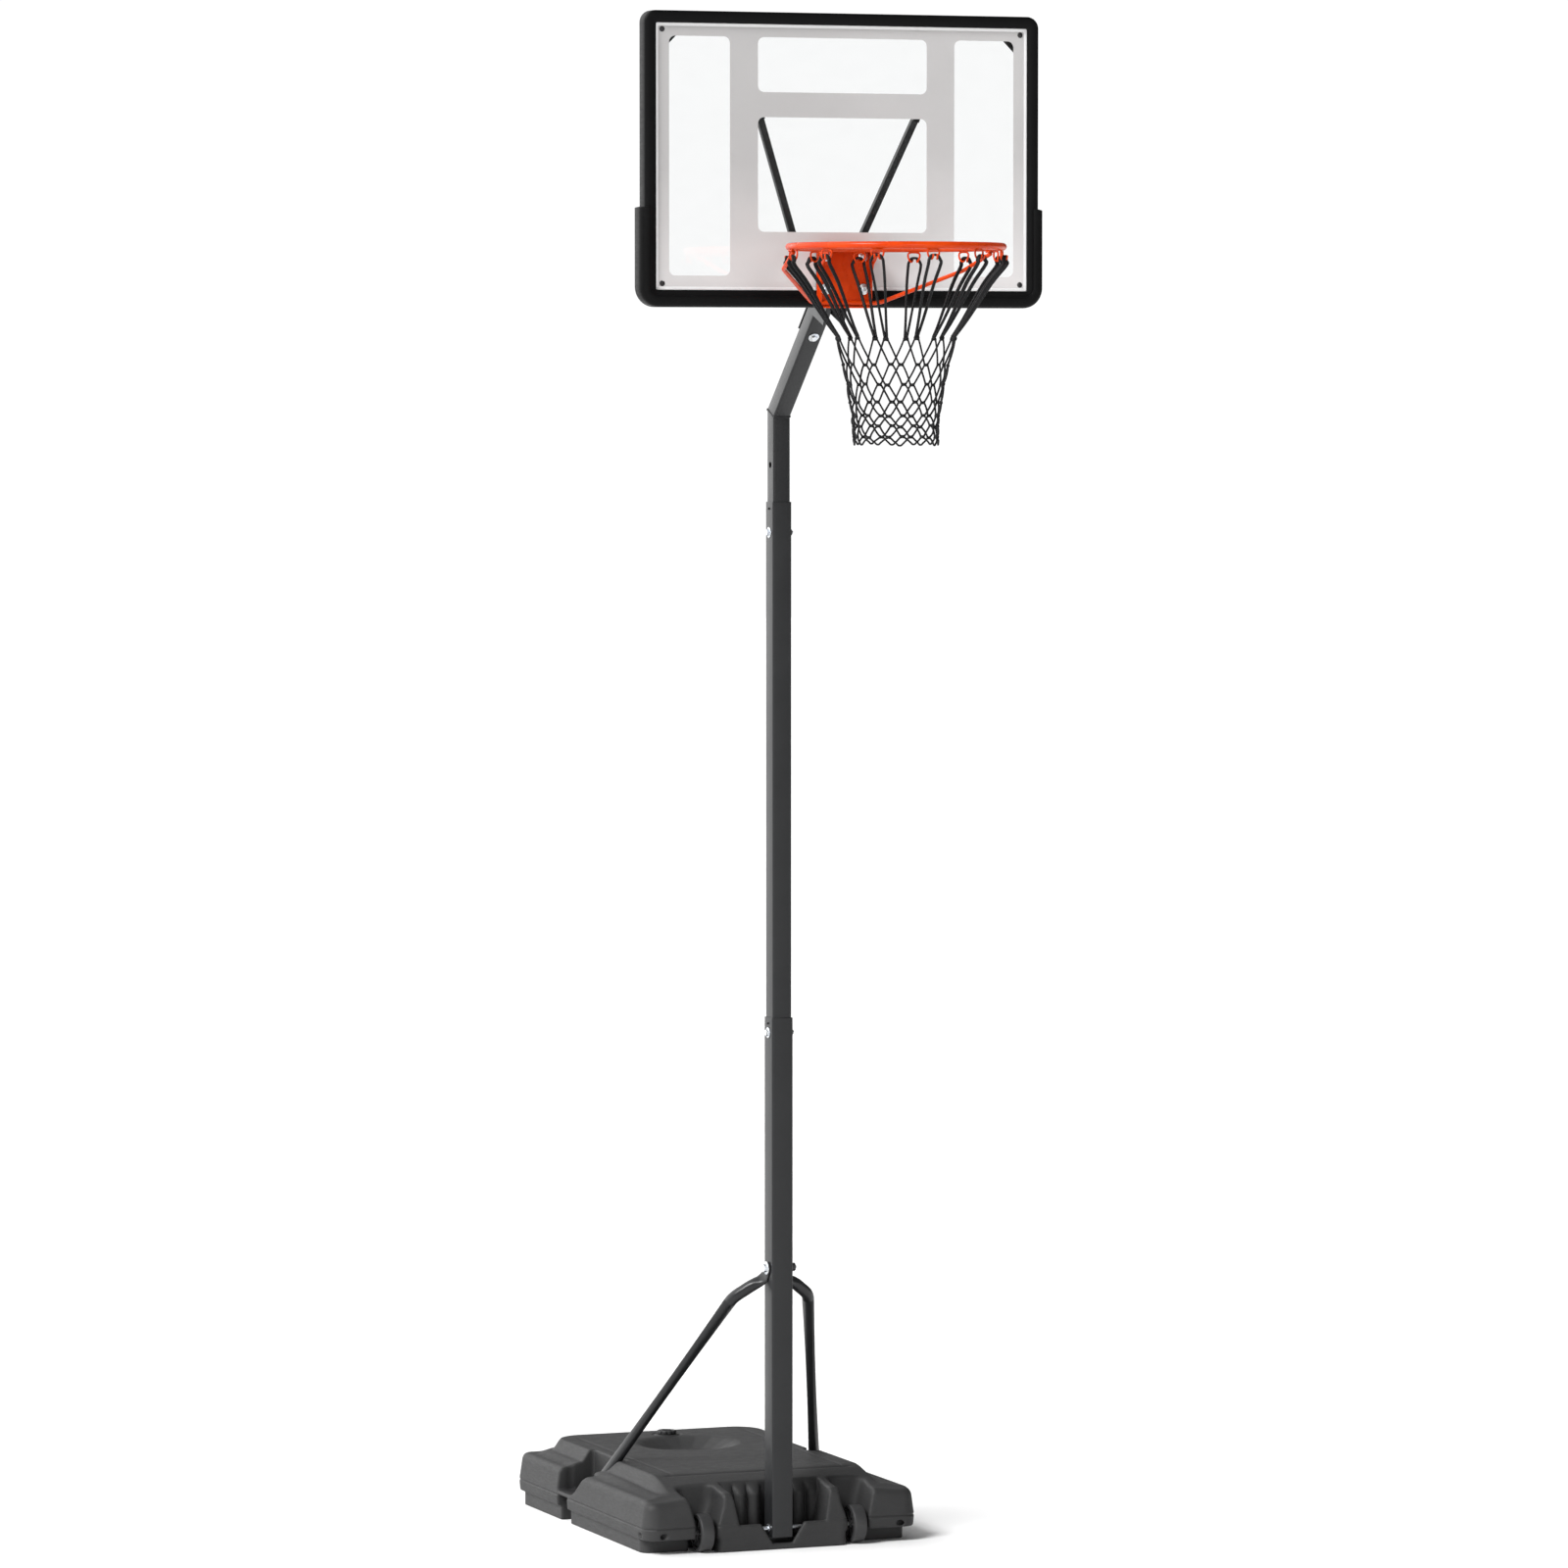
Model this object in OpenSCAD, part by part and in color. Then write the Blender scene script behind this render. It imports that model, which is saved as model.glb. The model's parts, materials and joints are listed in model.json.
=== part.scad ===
// Portable basketball hoop: a water-filled base on two wheels, a three-part square mast whose
// upper part telescopes, and a clear backboard with a fixed rim and a net.
// Millimetres. The origin is on the floor under the mast's axis, +Z is up, and the court is
// towards -Y. The mast stands near the base's front edge.

/* [Height] */
// Height of the rim's top edge above the floor, with the height bolt in its middle hole
rim_height = 2900; // [2850:10:2950]
// Distance between two height holes
hole_pitch = 150; // [130:10:150]

/* [Base] */
// Width of the base tank
base_w = 654; // [640:2:690]
// Front-to-back length of the base tank
base_l = 872; // [860:2:920]
// Height of the tank's raised deck
deck_z = 157; // [150:1:170]
// Height of the tank's lower shoulders
shoulder_z = 124; // [118:1:130]
// Height of the parting line round the tank
parting_z = 59; // [56:1:62]
// Wall thickness of the tank
tank_wall = 4; // [3:0.5:5]
// Depth of water in the tank, above the inside of its floor
water_depth = 128; // [60:2:134]
// Outer diameter of the wheels
wheel_d = 84; // [76:1:86]
// Tread width of the wheels
wheel_w = 31; // [26:1:34]

/* [Mast] */
// Outer width of the lower square tube
lower_w = 50; // [49:0.5:51]
// Outer width of the middle square tube
middle_w = 45; // [44:0.5:45.5]
// Outer width of the upper square tube
upper_w = 40; // [39:0.5:40.5]
// Wall thickness of the mast tubes
mast_wall = 1.5; // [1.2:0.1:1.5]
// Angle of the upper tube's arm above the horizontal
arm_angle = 42.7; // [41.5:0.1:43.5]

/* [Struts] */
// Outer diameter of the strut tubes
strut_d = 25; // [22:0.5:26]
// Height of the pivot bolt that holds the struts to the mast
strut_top_z = 629; // [600:1:660]

/* [Backboard] */
// Width of the panel that shows inside the edge frame
board_w = 868; // [840:2:880]
// Height of the panel that shows inside the edge frame
board_h = 573; // [560:1:580]
// Thickness of the clear panel
panel_t = 4; // [3:0.5:5]
// Distance of the panel's front face in front of the mast's axis
board_reach = 380; // [376:1:384]

/* [Rim] */
// Inner diameter of the rim
rim_inner_d = 440; // [440:1:450]
// Diameter of the rim's round bar
rim_bar = 16; // [15:0.5:17]
// Distance from the panel's front face to the rim's centre
rim_reach = 305; // [300:1:312]
// Length of the net below the rim's centre line
net_l = 424; // [400:2:440]

/* [Hidden] */
$fn = 64;
// Overlap that keeps cuts and joined solids clean
eps = 0.5;
// Corner segments of the hulled slabs
slab_fn = 32;

// Radial clearance of the axle in the wheels, and of the cap's plug in the neck
run_gap = 0.05;
// Radial clearance of bolts in their holes
bolt_gap = 0.2;

// Heights along the mast
lower_bottom_z = 26;
lower_top_z = 1190;
joint_bolt_z = lower_top_z - 34;
middle_bottom_z = lower_top_z - 150;
elbow_z = rim_height - 365;
middle_top_z = elbow_z - 197;
height_bolt_z = middle_top_z - 68;
upper_bottom_z = middle_top_z - 398;
tube_corner = 4;

// Arm of the upper pole, measured along its axis from the elbow
arm_len = 462;
arm_bolt_at = 268;
brace_bolt_at = 359;
arm_dir = [0, -cos(arm_angle), sin(arm_angle)];
function on_arm(s) = [0, 0, elbow_z] + s * arm_dir;
brace_bolt_p = on_arm(brace_bolt_at);

// Segments of each bend in a rod, and flats round the rod
bend_steps = 5;
rod_sides = 24;

// Bolts: nominal diameter, and sizes in proportion to it
m8 = 8;
m10 = 10;
head_af = 1.63;
head_h = 0.66;
nut_h = 0.8;
washer_d = 3.0;
washer_t = 1.6;

// Base tank outline
front_y = -29;
back_y = front_y + base_l;
half_w = base_w / 2;
outline_r = 46;
slab = 0.4;
skirt_z = 33;
foot_in = 17;
foot_front_y = 50;
shoulder_in = 9;
deck_half = 245;
deck_back_in = 62;
deck_front_y = 85;
deck_step = 20;
pad_half = 155;
// Recess that the mast stands in, and its front wall with a V-notch
recess_half = 110;
recess_back_y = 55;
recess_floor_z = 13;
front_wall_t = 9;
notch_top_half = 52;
notch_bottom_half = 23;
// Wheel wells
axle_z = 2 + wheel_d / 2;
axle_d = 10;
axle_bore = axle_d + 2 * bolt_gap;
axle_half = 222;
wheel_x = 183;
well_in_x = 160;
well_out_x = 207;
well_r = 62;
well_top_z = 112;
well_back_y = 52;
well_mouth_y = 27;
well_mouth_half = 43;
well_mouth_z = 142;
// Strut pockets
pocket_in_x = 234;
pocket_front_y = 420;
pocket_back_y = 560;
pocket_floor_z = 68;
under_front_y = 495;
under_back_y = 556;
// Dished deck and filling neck
dish_y = 590;
dish_r = 110;
dish_floor_r = 62;
dish_deep = 24;
neck_p = [10, 738];
neck_r = 22;
plug_r = 15;
plug_l = 12;
cap_r = 23;
cap_h = 8;
seal_t = 1.5;

// Struts: the centre line of the right one
strut_tab_t = 4;
strut_top = [strut_d / 2 + lower_w / 2 - 1.5, 12, strut_top_z - 17];
strut_bend = [90, 50, strut_top_z - 69];
strut_low = [271.5, 463, 75.5];
foot_bolt = [271, 520];
foot_tab_half = 12;

// Backboard: the panel's front face is at -board_reach, and its visible part starts at board_z
face_y = -board_reach;
board_z = rim_height - 98;
board_mid_z = board_z + board_h / 2;
panel_tuck = 7;
edge_front = 8;
edge_back = 28;
edge_side = 26;
trim_side = 11;
trim_top_z = board_z + 162;
trim_lip = 14;
trim_t = 4;
trim_gap = 0.3;
rear_tube = 25;
rear_deep = 15;
rear_wall = 1.5;
upright_w = 20;
upright_x = 229.5;
cross_z = board_z + 402;
low_rail_z = board_z + 34;
gusset = 42;
gusset_t = 2;
rim_lug_t = 3;
screw_in = [16, 14];
rear_y = face_y + panel_t + rear_deep;

// Head bracket
web_t = 4;
flange_t = 4;
flange_gap = 0.6;
flange_in = upper_w / 2 + flange_gap;
brace_w = 15;
brace_wall = 1.5;
// Bolt centres of a brace on its inner faces, and the ends of its tube beyond them
brace_end = 24;
brace_low = [flange_in + flange_t, brace_bolt_p[1], brace_bolt_p[2]];
brace_high = [193, rear_y, cross_z];
brace_lean = atan2(brace_high[0] - brace_low[0], brace_high[2] - brace_low[2]);
tube_low = brace_low + [brace_w / 2 + 2, 0, brace_end];
tube_high = brace_high + [-brace_end * sin(brace_lean), brace_w / 2 + 2,
    -brace_end * cos(brace_lean)];

// Rim
ring_r = (rim_inner_d + rim_bar) / 2;
ring_z = rim_height - rim_bar / 2;
ring_y = face_y - rim_reach;
plate_w = 128;
plate_t = 4;
plate_y = face_y - edge_front - plate_t;
plate_z0 = board_z - 38;
pattern = [88, 72];
pattern_z = rim_height - 59;
rod_d = 9;
rod_cross_z = plate_z0 + 11;
hook_count = 12;
hook_r = 9;
hook_bar = 4;
hook_z = ring_z - rim_bar / 2 - hook_r - hook_bar / 2 - 0.05;
net_t = 3;
// Net profile: depth below the rim's centre line as a share of its length, and radius
net_shape = [[0.11, 200], [0.46, 128], [0.59, 112], [0.69, 103], [0.78, 97], [0.90, 91], [1, 90]];

plastic_grey = [0.26, 0.26, 0.26];
steel_grey = [0.22, 0.22, 0.23];
black = [0.06, 0.06, 0.06];
zinc = [0.72, 0.75, 0.78];
orange = [0.93, 0.28, 0.08];

// ---------- shared shapes ----------

module rounded_square(size, r) {
    square([size[0] - 2 * r, size[1]], center = true);
    square([size[0], size[1] - 2 * r], center = true);
    for (sx = [-1, 1], sy = [-1, 1])
        translate([sx * (size[0] / 2 - r), sy * (size[1] / 2 - r)])
            circle(r);
}

module square_tube(w, wall, corner, length) {
    linear_extrude(length)
        difference() {
            rounded_square([w, w], corner);
            rounded_square([w - 2 * wall, w - 2 * wall], corner - wall);
        }
}

// A cylinder along X through p, half to each side
module x_rod(p, d, length) {
    translate(p)
        rotate([0, 90, 0])
            cylinder(d = d, h = length, center = true);
}

// A cylinder along Y through p
module y_rod(p, d, length) {
    translate(p)
        rotate([90, 0, 0])
            cylinder(d = d, h = length, center = true);
}

// Turns +Z onto the direction from p to q and moves to p
module along(p, q) {
    v = q - p;
    translate(p)
        rotate([0, acos(v[2] / norm(v)), atan2(v[1], v[0])])
            children();
}

module bar(p, q, d) {
    along(p, q)
        cylinder(d = d, h = norm(q - p));
}

// Points of a path whose corners are rounded: each bend starts and ends at distance r from its corner
function unit(v) = v / norm(v);
function bend_point(a, b, c, r, t) =
    (1 - t) ^ 2 * (b + r * unit(a - b)) + 2 * t * (1 - t) * b + t ^ 2 * (b + r * unit(c - b));
function rounded_path(p, r) = concat([p[0]],
    [for (i = [1:len(p) - 2], k = [0:bend_steps]) bend_point(p[i - 1], p[i], p[i + 1], r,
        k / bend_steps)], [p[len(p) - 1]]);
function tangent(p, i) = unit(p[min(i + 1, len(p) - 1)] - p[max(i - 1, 0)]);

// A round rod swept along a path that never runs straight up
module swept_rod(path, d) {
    n = len(path);
    rings = [for (i = [0:n - 1]) let (t = tangent(path, i), u = unit(cross(t, [0, 0, 1])),
        v = cross(u, t)) for (k = [0:rod_sides - 1]) let (a = k * 360 / rod_sides)
        path[i] + d / 2 * (cos(a) * u + sin(a) * v)];
    sides = [for (i = [0:n - 2], k = [0:rod_sides - 1]) let (j = (k + 1) % rod_sides,
        b = i * rod_sides) [b + k, b + j, b + rod_sides + j, b + rod_sides + k]];
    polyhedron(rings, concat(sides, [[for (k = [rod_sides - 1:-1:0]) k],
        [for (k = [0:rod_sides - 1]) (n - 1) * rod_sides + k]]));
}

// Hex bolt: the shank runs down -Z from the washer's underside at z 0
module hex_bolt(d, length) {
    translate([0, 0, -length])
        cylinder(d = d, h = length + eps);
    cylinder(d = washer_d * d, h = washer_t);
    translate([0, 0, washer_t - eps / 2])
        cylinder(d = head_af * d * 2 / sqrt(3), h = head_h * d + eps / 2, $fn = 6);
}

// Hex nut with a washer: it stands on z 0 and the shank passes through it
module hex_nut(d) {
    difference() {
        union() {
            cylinder(d = washer_d * d * 0.8, h = washer_t);
            translate([0, 0, washer_t - eps / 2])
                cylinder(d = head_af * d * 2 / sqrt(3), h = nut_h * d + eps / 2, $fn = 6);
        }
        translate([0, 0, -eps])
            cylinder(d = d + 2 * run_gap, h = nut_h * d + washer_t + 2 * eps);
    }
}

// ---------- base ----------

module tank_outline(inset) {
    translate([0, (front_y + back_y) / 2])
        rounded_square([base_w - 2 * inset, base_l - 2 * inset], outline_r, $fn = slab_fn);
}

module deck_outline(inset) {
    y0 = deck_front_y + inset;
    y1 = back_y - deck_back_in + deck_step + 3 - inset;
    translate([0, (y0 + y1) / 2])
        rounded_square([2 * deck_half - 2 * inset, y1 - y0], outline_r / 2, $fn = slab_fn);
}

module thin_slab(z) {
    translate([0, 0, z])
        linear_extrude(slab)
            children();
}

// Everything the tank's outer surface encloses, or with an inset, its inner surface
module tank_form(inset) {
    difference() {
        union() {
            translate([0, (foot_front_y + back_y - foot_in) / 2, inset])
                linear_extrude(parting_z - inset)
                    rounded_square([base_w - 2 * foot_in - 2 * inset,
                        back_y - foot_in - foot_front_y - 2 * inset], outline_r / 2);
            translate([-pad_half + inset, front_y + inset, inset])
                cube([2 * (pad_half - inset), foot_front_y - front_y + 2 * outline_r,
                    parting_z - inset]);
            translate([0, 0, skirt_z + inset])
                linear_extrude(parting_z - skirt_z - inset + slab)
                    tank_outline(inset, $fn = slab_fn);
            hull() {
                thin_slab(parting_z)
                    tank_outline(inset);
                thin_slab(shoulder_z - inset)
                    tank_outline(inset + shoulder_in);
            }
            hull() {
                thin_slab(shoulder_z - inset - slab)
                    deck_outline(inset - deck_step);
                thin_slab(deck_z - inset - slab)
                    deck_outline(inset);
            }
        }
        tank_recess(inset);
        for (s = [-1, 1]) {
            wheel_well(s, inset);
            strut_pocket(s, inset);
        }
        translate([0, dish_y, deck_z - dish_deep - inset])
            cylinder(r1 = dish_floor_r + inset / 2, r2 = dish_r + inset, h = dish_deep + inset + eps);
    }
}

module tank_recess(grow) {
    // the space behind the front wall
    translate([-recess_half - grow, front_y + front_wall_t - grow, recess_floor_z - grow])
        cube([2 * (recess_half + grow), recess_back_y - front_y - front_wall_t + 2 * grow, deck_z]);
    // above the front wall
    translate([-recess_half - grow, front_y - eps, parting_z - grow])
        cube([2 * (recess_half + grow), front_wall_t + 1, deck_z]);
    // the notch in the front wall
    translate([0, front_y + front_wall_t + eps, 0])
        rotate([90, 0, 0])
            linear_extrude(front_wall_t + 2 * eps)
                polygon([[-notch_top_half, parting_z + eps], [notch_top_half, parting_z + eps],
                    [notch_bottom_half, recess_floor_z], [-notch_bottom_half, recess_floor_z]]);
}

module wheel_well(side, grow) {
    w = well_out_x - well_in_x + 2 * grow;
    lean = (2 * well_mouth_half + 2 * grow - w) / 2 / (well_mouth_z - parting_z);
    top_z = deck_z + grow + eps;
    low_half = w / 2 - lean * (parting_z - axle_z);
    top_half = w / 2 + lean * (top_z - parting_z);
    translate([side * (well_in_x + well_out_x) / 2, 0, 0]) {
        x_rod([0, 0, axle_z], 2 * (well_r + grow), w);
        translate([-w / 2, front_y - eps, -eps])
            cube([w, well_back_y + grow - front_y + eps, well_top_z + grow + eps]);
        // a funnel that is open at the front and at the top
        translate([0, well_mouth_y + grow, 0])
            rotate([90, 0, 0])
                linear_extrude(well_mouth_y + grow - front_y + eps)
                    polygon([[-low_half, axle_z], [low_half, axle_z], [top_half, top_z],
                        [-top_half, top_z]]);
    }
}

module strut_pocket(side, grow) {
    mirror([side > 0 ? 0 : 1, 0, 0]) {
        translate([pocket_in_x - grow, pocket_front_y - grow, pocket_floor_z - grow])
            cube([half_w, pocket_back_y - pocket_front_y + 2 * grow, deck_z]);
        translate([pocket_in_x - grow, under_front_y - grow, -eps])
            cube([half_w, under_back_y - under_front_y + 2 * grow, parting_z + grow + eps]);
        bar(strut_bend, strut_low, strut_d + 12 + 2 * grow);
    }
}

module base_tank() color(plastic_grey) {
    difference() {
        tank_form(0);
        difference() {
            tank_form(tank_wall);
            // tunnel of the axle and the wall of the filling neck
            x_rod([0, 0, axle_z], axle_bore + 2 * tank_wall, base_w);
            translate([neck_p[0], neck_p[1], deck_z - plug_l - tank_wall])
                cylinder(r = neck_r, h = plug_l + tank_wall);
        }
        x_rod([0, 0, axle_z], axle_bore, base_w + 2);
        translate([neck_p[0], neck_p[1], deck_z - plug_l - 2 * tank_wall])
            cylinder(r = plug_r + run_gap, h = plug_l + 2 * tank_wall + eps);
        // drilled holes of the strut foot bolts
        for (s = [-1, 1])
            translate([s * foot_bolt[0], foot_bolt[1], parting_z - eps])
                cylinder(d = m8 + 2 * bolt_gap, h = pocket_floor_z - parting_z + 2 * eps);
    }
}

module water_ballast() color([0.35, 0.5, 0.6]) {
    skin = tank_wall + 0.6;
    intersection() {
        difference() {
            tank_form(skin);
            x_rod([0, 0, axle_z], axle_bore + 2 * skin, base_w);
        }
        translate([-half_w, front_y, 0])
            cube([base_w, base_l, skin + water_depth]);
    }
}

module cap_seal() color(black) {
    translate([neck_p[0], neck_p[1], deck_z])
        difference() {
            cylinder(r = cap_r - 1.5, h = seal_t);
            translate([0, 0, -eps])
                cylinder(r = plug_r + 0.4, h = seal_t + 2 * eps);
        }
}

module fill_cap() color(black) {
    grips = 5;
    translate([neck_p[0], neck_p[1], deck_z]) {
        translate([0, 0, -plug_l])
            difference() {
                cylinder(r = plug_r, h = plug_l + seal_t + eps);
                translate([0, 0, -eps])
                    cylinder(r = plug_r - 2.5, h = plug_l);
            }
        difference() {
            translate([0, 0, seal_t])
                cylinder(r = cap_r, h = cap_h);
            // finger scallops round the edge
            for (i = [0:grips - 1])
                rotate(i * 360 / grips)
                    translate([cap_r + 4, 0, seal_t - eps])
                        cylinder(r = 8, h = cap_h + 2 * eps);
        }
    }
}

module wheel_axle() color(zinc)
    x_rod([0, 0, axle_z], axle_d, 2 * axle_half);

module wheel(side) color(plastic_grey) {
    translate([side * wheel_x - wheel_w / 2, 0, axle_z])
        rotate([0, 90, 0])
            difference() {
                rotate_extrude()
                    polygon([[axle_d / 2 + run_gap, 0], [wheel_d / 2 - 3, 0], [wheel_d / 2, 3],
                        [wheel_d / 2, wheel_w - 3], [wheel_d / 2 - 3, wheel_w],
                        [axle_d / 2 + run_gap, wheel_w]]);
                // hollow behind each rim face
                for (z = [-eps, wheel_w - 5])
                    translate([0, 0, z])
                        difference() {
                            cylinder(r = wheel_d / 2 - 9, h = 5 + eps);
                            translate([0, 0, -eps])
                                cylinder(r = axle_d / 2 + 6, h = 6 + 2 * eps);
                        }
            }
}

module wheel_left() wheel(-1);
module wheel_right() wheel(1);

// ---------- mast ----------

module lower_pole() color(steel_grey) {
    difference() {
        translate([0, 0, lower_bottom_z])
            square_tube(lower_w, mast_wall, tube_corner, lower_top_z - lower_bottom_z);
        x_rod([0, 0, axle_z], axle_bore, 2 * lower_w);
        x_rod([0, 0, strut_top_z], m10 + 2 * bolt_gap, 2 * lower_w);
        x_rod([0, 0, joint_bolt_z], m8 + 2 * bolt_gap, 2 * lower_w);
        x_rod([-lower_w / 2, 0, lower_top_z - 13], 5 + 2 * bolt_gap, lower_w / 2);
    }
}

module middle_pole() color(steel_grey) {
    difference() {
        translate([0, 0, middle_bottom_z])
            square_tube(middle_w, mast_wall, tube_corner, middle_top_z - middle_bottom_z);
        x_rod([0, 0, joint_bolt_z], m8 + 2 * bolt_gap, 2 * middle_w);
        x_rod([0, 0, height_bolt_z], m8 + 2 * bolt_gap, 2 * middle_w);
        x_rod([-middle_w / 2, 0, middle_top_z - 15], 5 + 2 * bolt_gap, middle_w / 2);
    }
}

// The bent upper tube's side outline, or with an inset, the outline of the space inside it
module bent_outline(inset) {
    w = upper_w / 2 - inset;
    corner = w * tan((90 - arm_angle) / 2);
    across = w * [sin(arm_angle), cos(arm_angle)];
    tip = [on_arm(arm_len)[1], on_arm(arm_len)[2]] + inset * [arm_dir[1], arm_dir[2]];
    polygon([[w, upper_bottom_z - inset], [w, elbow_z + corner], tip + across, tip - across,
        [-w, elbow_z - corner], [-w, upper_bottom_z - inset]]);
}

module bent_prism(inset) {
    w = upper_w - 2 * inset;
    translate([-w / 2, 0, 0])
        rotate([90, 0, 90])
            linear_extrude(w)
                bent_outline(inset);
}

module upper_pole() color(steel_grey) {
    index_d = 14;
    difference() {
        bent_prism(0);
        bent_prism(mast_wall);
        for (i = [-1:1])
            x_rod([0, 0, height_bolt_z + i * hole_pitch], index_d, 2 * upper_w);
        x_rod(brace_bolt_p, m8 + 2 * bolt_gap, 2 * upper_w);
        translate(on_arm(arm_bolt_at))
            rotate([-arm_angle, 0, 0])
                cylinder(d = m8 + 2 * bolt_gap, h = 2 * upper_w, center = true);
    }
}

module arm_end_plug() color(black) {
    plug_in = 20;
    inner = upper_w - 2 * mast_wall - 0.2;
    translate([0, 0, elbow_z])
        rotate([90 - arm_angle, 0, 0]) {
            translate([0, 0, arm_len + eps / 20])
                linear_extrude(2)
                    rounded_square([upper_w, upper_w], tube_corner);
            translate([0, 0, arm_len - plug_in])
                linear_extrude(plug_in + eps)
                    rounded_square([inner, inner], tube_corner - mast_wall);
        }
}

// A bolt along X through the mast at height z: the head is on the left
module mast_bolt(z, w, d) {
    translate([-w / 2, 0, z])
        rotate([0, -90, 0])
            hex_bolt(d, w + washer_t + nut_h * d + 3);
}

module mast_nut(z, w, d) {
    translate([w / 2, 0, z])
        rotate([0, 90, 0])
            hex_nut(d);
}

module pole_joint_bolt() color(zinc) mast_bolt(joint_bolt_z, lower_w, m8);
module pole_joint_nut() color(black) mast_nut(joint_bolt_z, lower_w, m8);

// The height bolt's shank is left out between the middle pole's walls, where the upper pole moves
module height_bolt() color(zinc) {
    difference() {
        mast_bolt(height_bolt_z, middle_w, m8);
        translate([-upper_w / 2 - 0.5, -m10, height_bolt_z - m10])
            cube([upper_w + 1, 2 * m10, 2 * m10]);
    }
}

module height_nut() color(black) mast_nut(height_bolt_z, middle_w, m8);

// Set screws that press on the inner tube and take up its play
module set_screws() color(black) {
    for (p = [[lower_w, lower_top_z - 13, middle_w], [middle_w, middle_top_z - 15, upper_w]])
        translate([-p[0] / 2 - 3, 0, p[1]])
            rotate([0, 90, 0])
                cylinder(d = 5, h = (p[0] - p[2]) / 2 + 3 - 0.1);
}

// ---------- struts ----------

module strut() color(steel_grey) {
    tab_x = lower_w / 2;
    difference() {
        union() {
            difference() {
                swept_rod(rounded_path([strut_top, strut_bend, strut_low], strut_d), strut_d);
                swept_rod(rounded_path([strut_top + strut_d * unit(strut_bend - strut_top),
                    strut_bend, strut_low - strut_d * unit(strut_low - strut_bend)], strut_d),
                    strut_d - 2 * mast_wall);
            }
            // flattened top end
            translate([tab_x, 0, 0])
                rotate([90, 0, 90])
                    linear_extrude(strut_tab_t) {
                        translate([0, strut_top_z])
                            circle(d = strut_d + 3);
                        translate([strut_top[1], strut_top[2]])
                            circle(d = strut_d);
                        translate([strut_top[1] / 2, (strut_top_z + strut_top[2]) / 2])
                            rotate(atan2(strut_top[2] - strut_top_z, strut_top[1]))
                                square([norm([strut_top[1], strut_top[2] - strut_top_z]),
                                    strut_d - 2], center = true);
                    }
            // flattened foot
            translate([foot_bolt[0], foot_bolt[1], pocket_floor_z])
                linear_extrude(strut_tab_t) {
                    circle(foot_tab_half);
                    translate([-foot_tab_half, strut_low[1] - foot_bolt[1]])
                        square([2 * foot_tab_half, foot_bolt[1] - strut_low[1]]);
                }
        }
        x_rod([tab_x, 0, strut_top_z], m10 + 2 * bolt_gap, 4 * strut_tab_t);
        translate([foot_bolt[0], foot_bolt[1], pocket_floor_z - eps])
            cylinder(d = m8 + 2 * bolt_gap, h = strut_tab_t + 2 * eps);
        translate([0, 0, pocket_floor_z - 2 * strut_d])
            cube([base_w, base_l, 2 * strut_d]);
    }
}

module strut_right() strut();
module strut_left() mirror([1, 0, 0]) strut();

module strut_pivot_bolt() color(zinc) mast_bolt(strut_top_z, lower_w + 2 * strut_tab_t, m10);
module strut_pivot_nut() color(black) mast_nut(strut_top_z, lower_w + 2 * strut_tab_t, m10);

module strut_foot_bolts() color(zinc) {
    for (s = [-1, 1])
        translate([s * foot_bolt[0], foot_bolt[1], pocket_floor_z + strut_tab_t])
            hex_bolt(m8, pocket_floor_z + strut_tab_t - parting_z + 12);
}

module strut_foot_nuts() color(zinc) {
    for (s = [-1, 1])
        translate([s * foot_bolt[0], foot_bolt[1], parting_z])
            mirror([0, 0, 1])
                hex_nut(m8);
}

// ---------- head bracket and braces ----------

module head_bracket() color(steel_grey) {
    web_half = 33;
    web_y = rear_y;
    web_z0 = board_z - 4;
    web_z1 = board_z + 90;
    // the cheeks stay behind the edge frame where they go below the web
    drop_y = face_y + edge_back + 4;
    p = brace_bolt_p;
    difference() {
        union() {
            // plate on the rear frame
            translate([-web_half, web_y, web_z0])
                cube([2 * web_half, web_t, web_z1 - web_z0]);
            // two cheeks that hold the arm
            for (s = [-1, 1])
                translate([s > 0 ? flange_in : -flange_in - flange_t, 0, 0])
                    rotate([90, 0, 90])
                        linear_extrude(flange_t)
                            polygon([[web_y + eps, web_z1], [web_y + eps, web_z0],
                                [drop_y, web_z0], [drop_y, web_z0 - 30],
                                [web_y + 34, p[2] - 52], [p[1] + 12, p[2] - 24],
                                [p[1] + 30, p[2] + 2], [p[1] + 8, p[2] + 40],
                                [web_y + 30, web_z1]]);
        }
        x_rod(p, m8 + 2 * bolt_gap, 4 * upper_w);
    }
    // strap that runs down the arm's top side to the arm bolt
    strap_from = arm_bolt_at - 16;
    strap_to = brace_bolt_at + 40;
    difference() {
        translate([0, 0, elbow_z])
            rotate([90 - arm_angle, 0, 0])
                translate([-flange_in - eps, upper_w / 2 + 0.2, strap_from])
                    cube([2 * (flange_in + eps), 3, strap_to - strap_from]);
        translate(on_arm(arm_bolt_at))
            rotate([-arm_angle, 0, 0])
                cylinder(d = m8 + 2 * bolt_gap, h = 2 * upper_w, center = true);
    }
}

// Bolt square to the arm: its head is on the arm's front underside
module arm_bolt() color(zinc) {
    translate(on_arm(arm_bolt_at))
        rotate([180 - arm_angle, 0, 0])
            translate([0, 0, upper_w / 2 + eps / 20])
                hex_bolt(m8, upper_w + 3.2 + washer_t + nut_h * m8 + 3);
}

module arm_nut() color(zinc) {
    translate(on_arm(arm_bolt_at))
        rotate([-arm_angle, 0, 0])
            translate([0, 0, upper_w / 2 + 3.2])
                hex_nut(m8);
}

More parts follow.
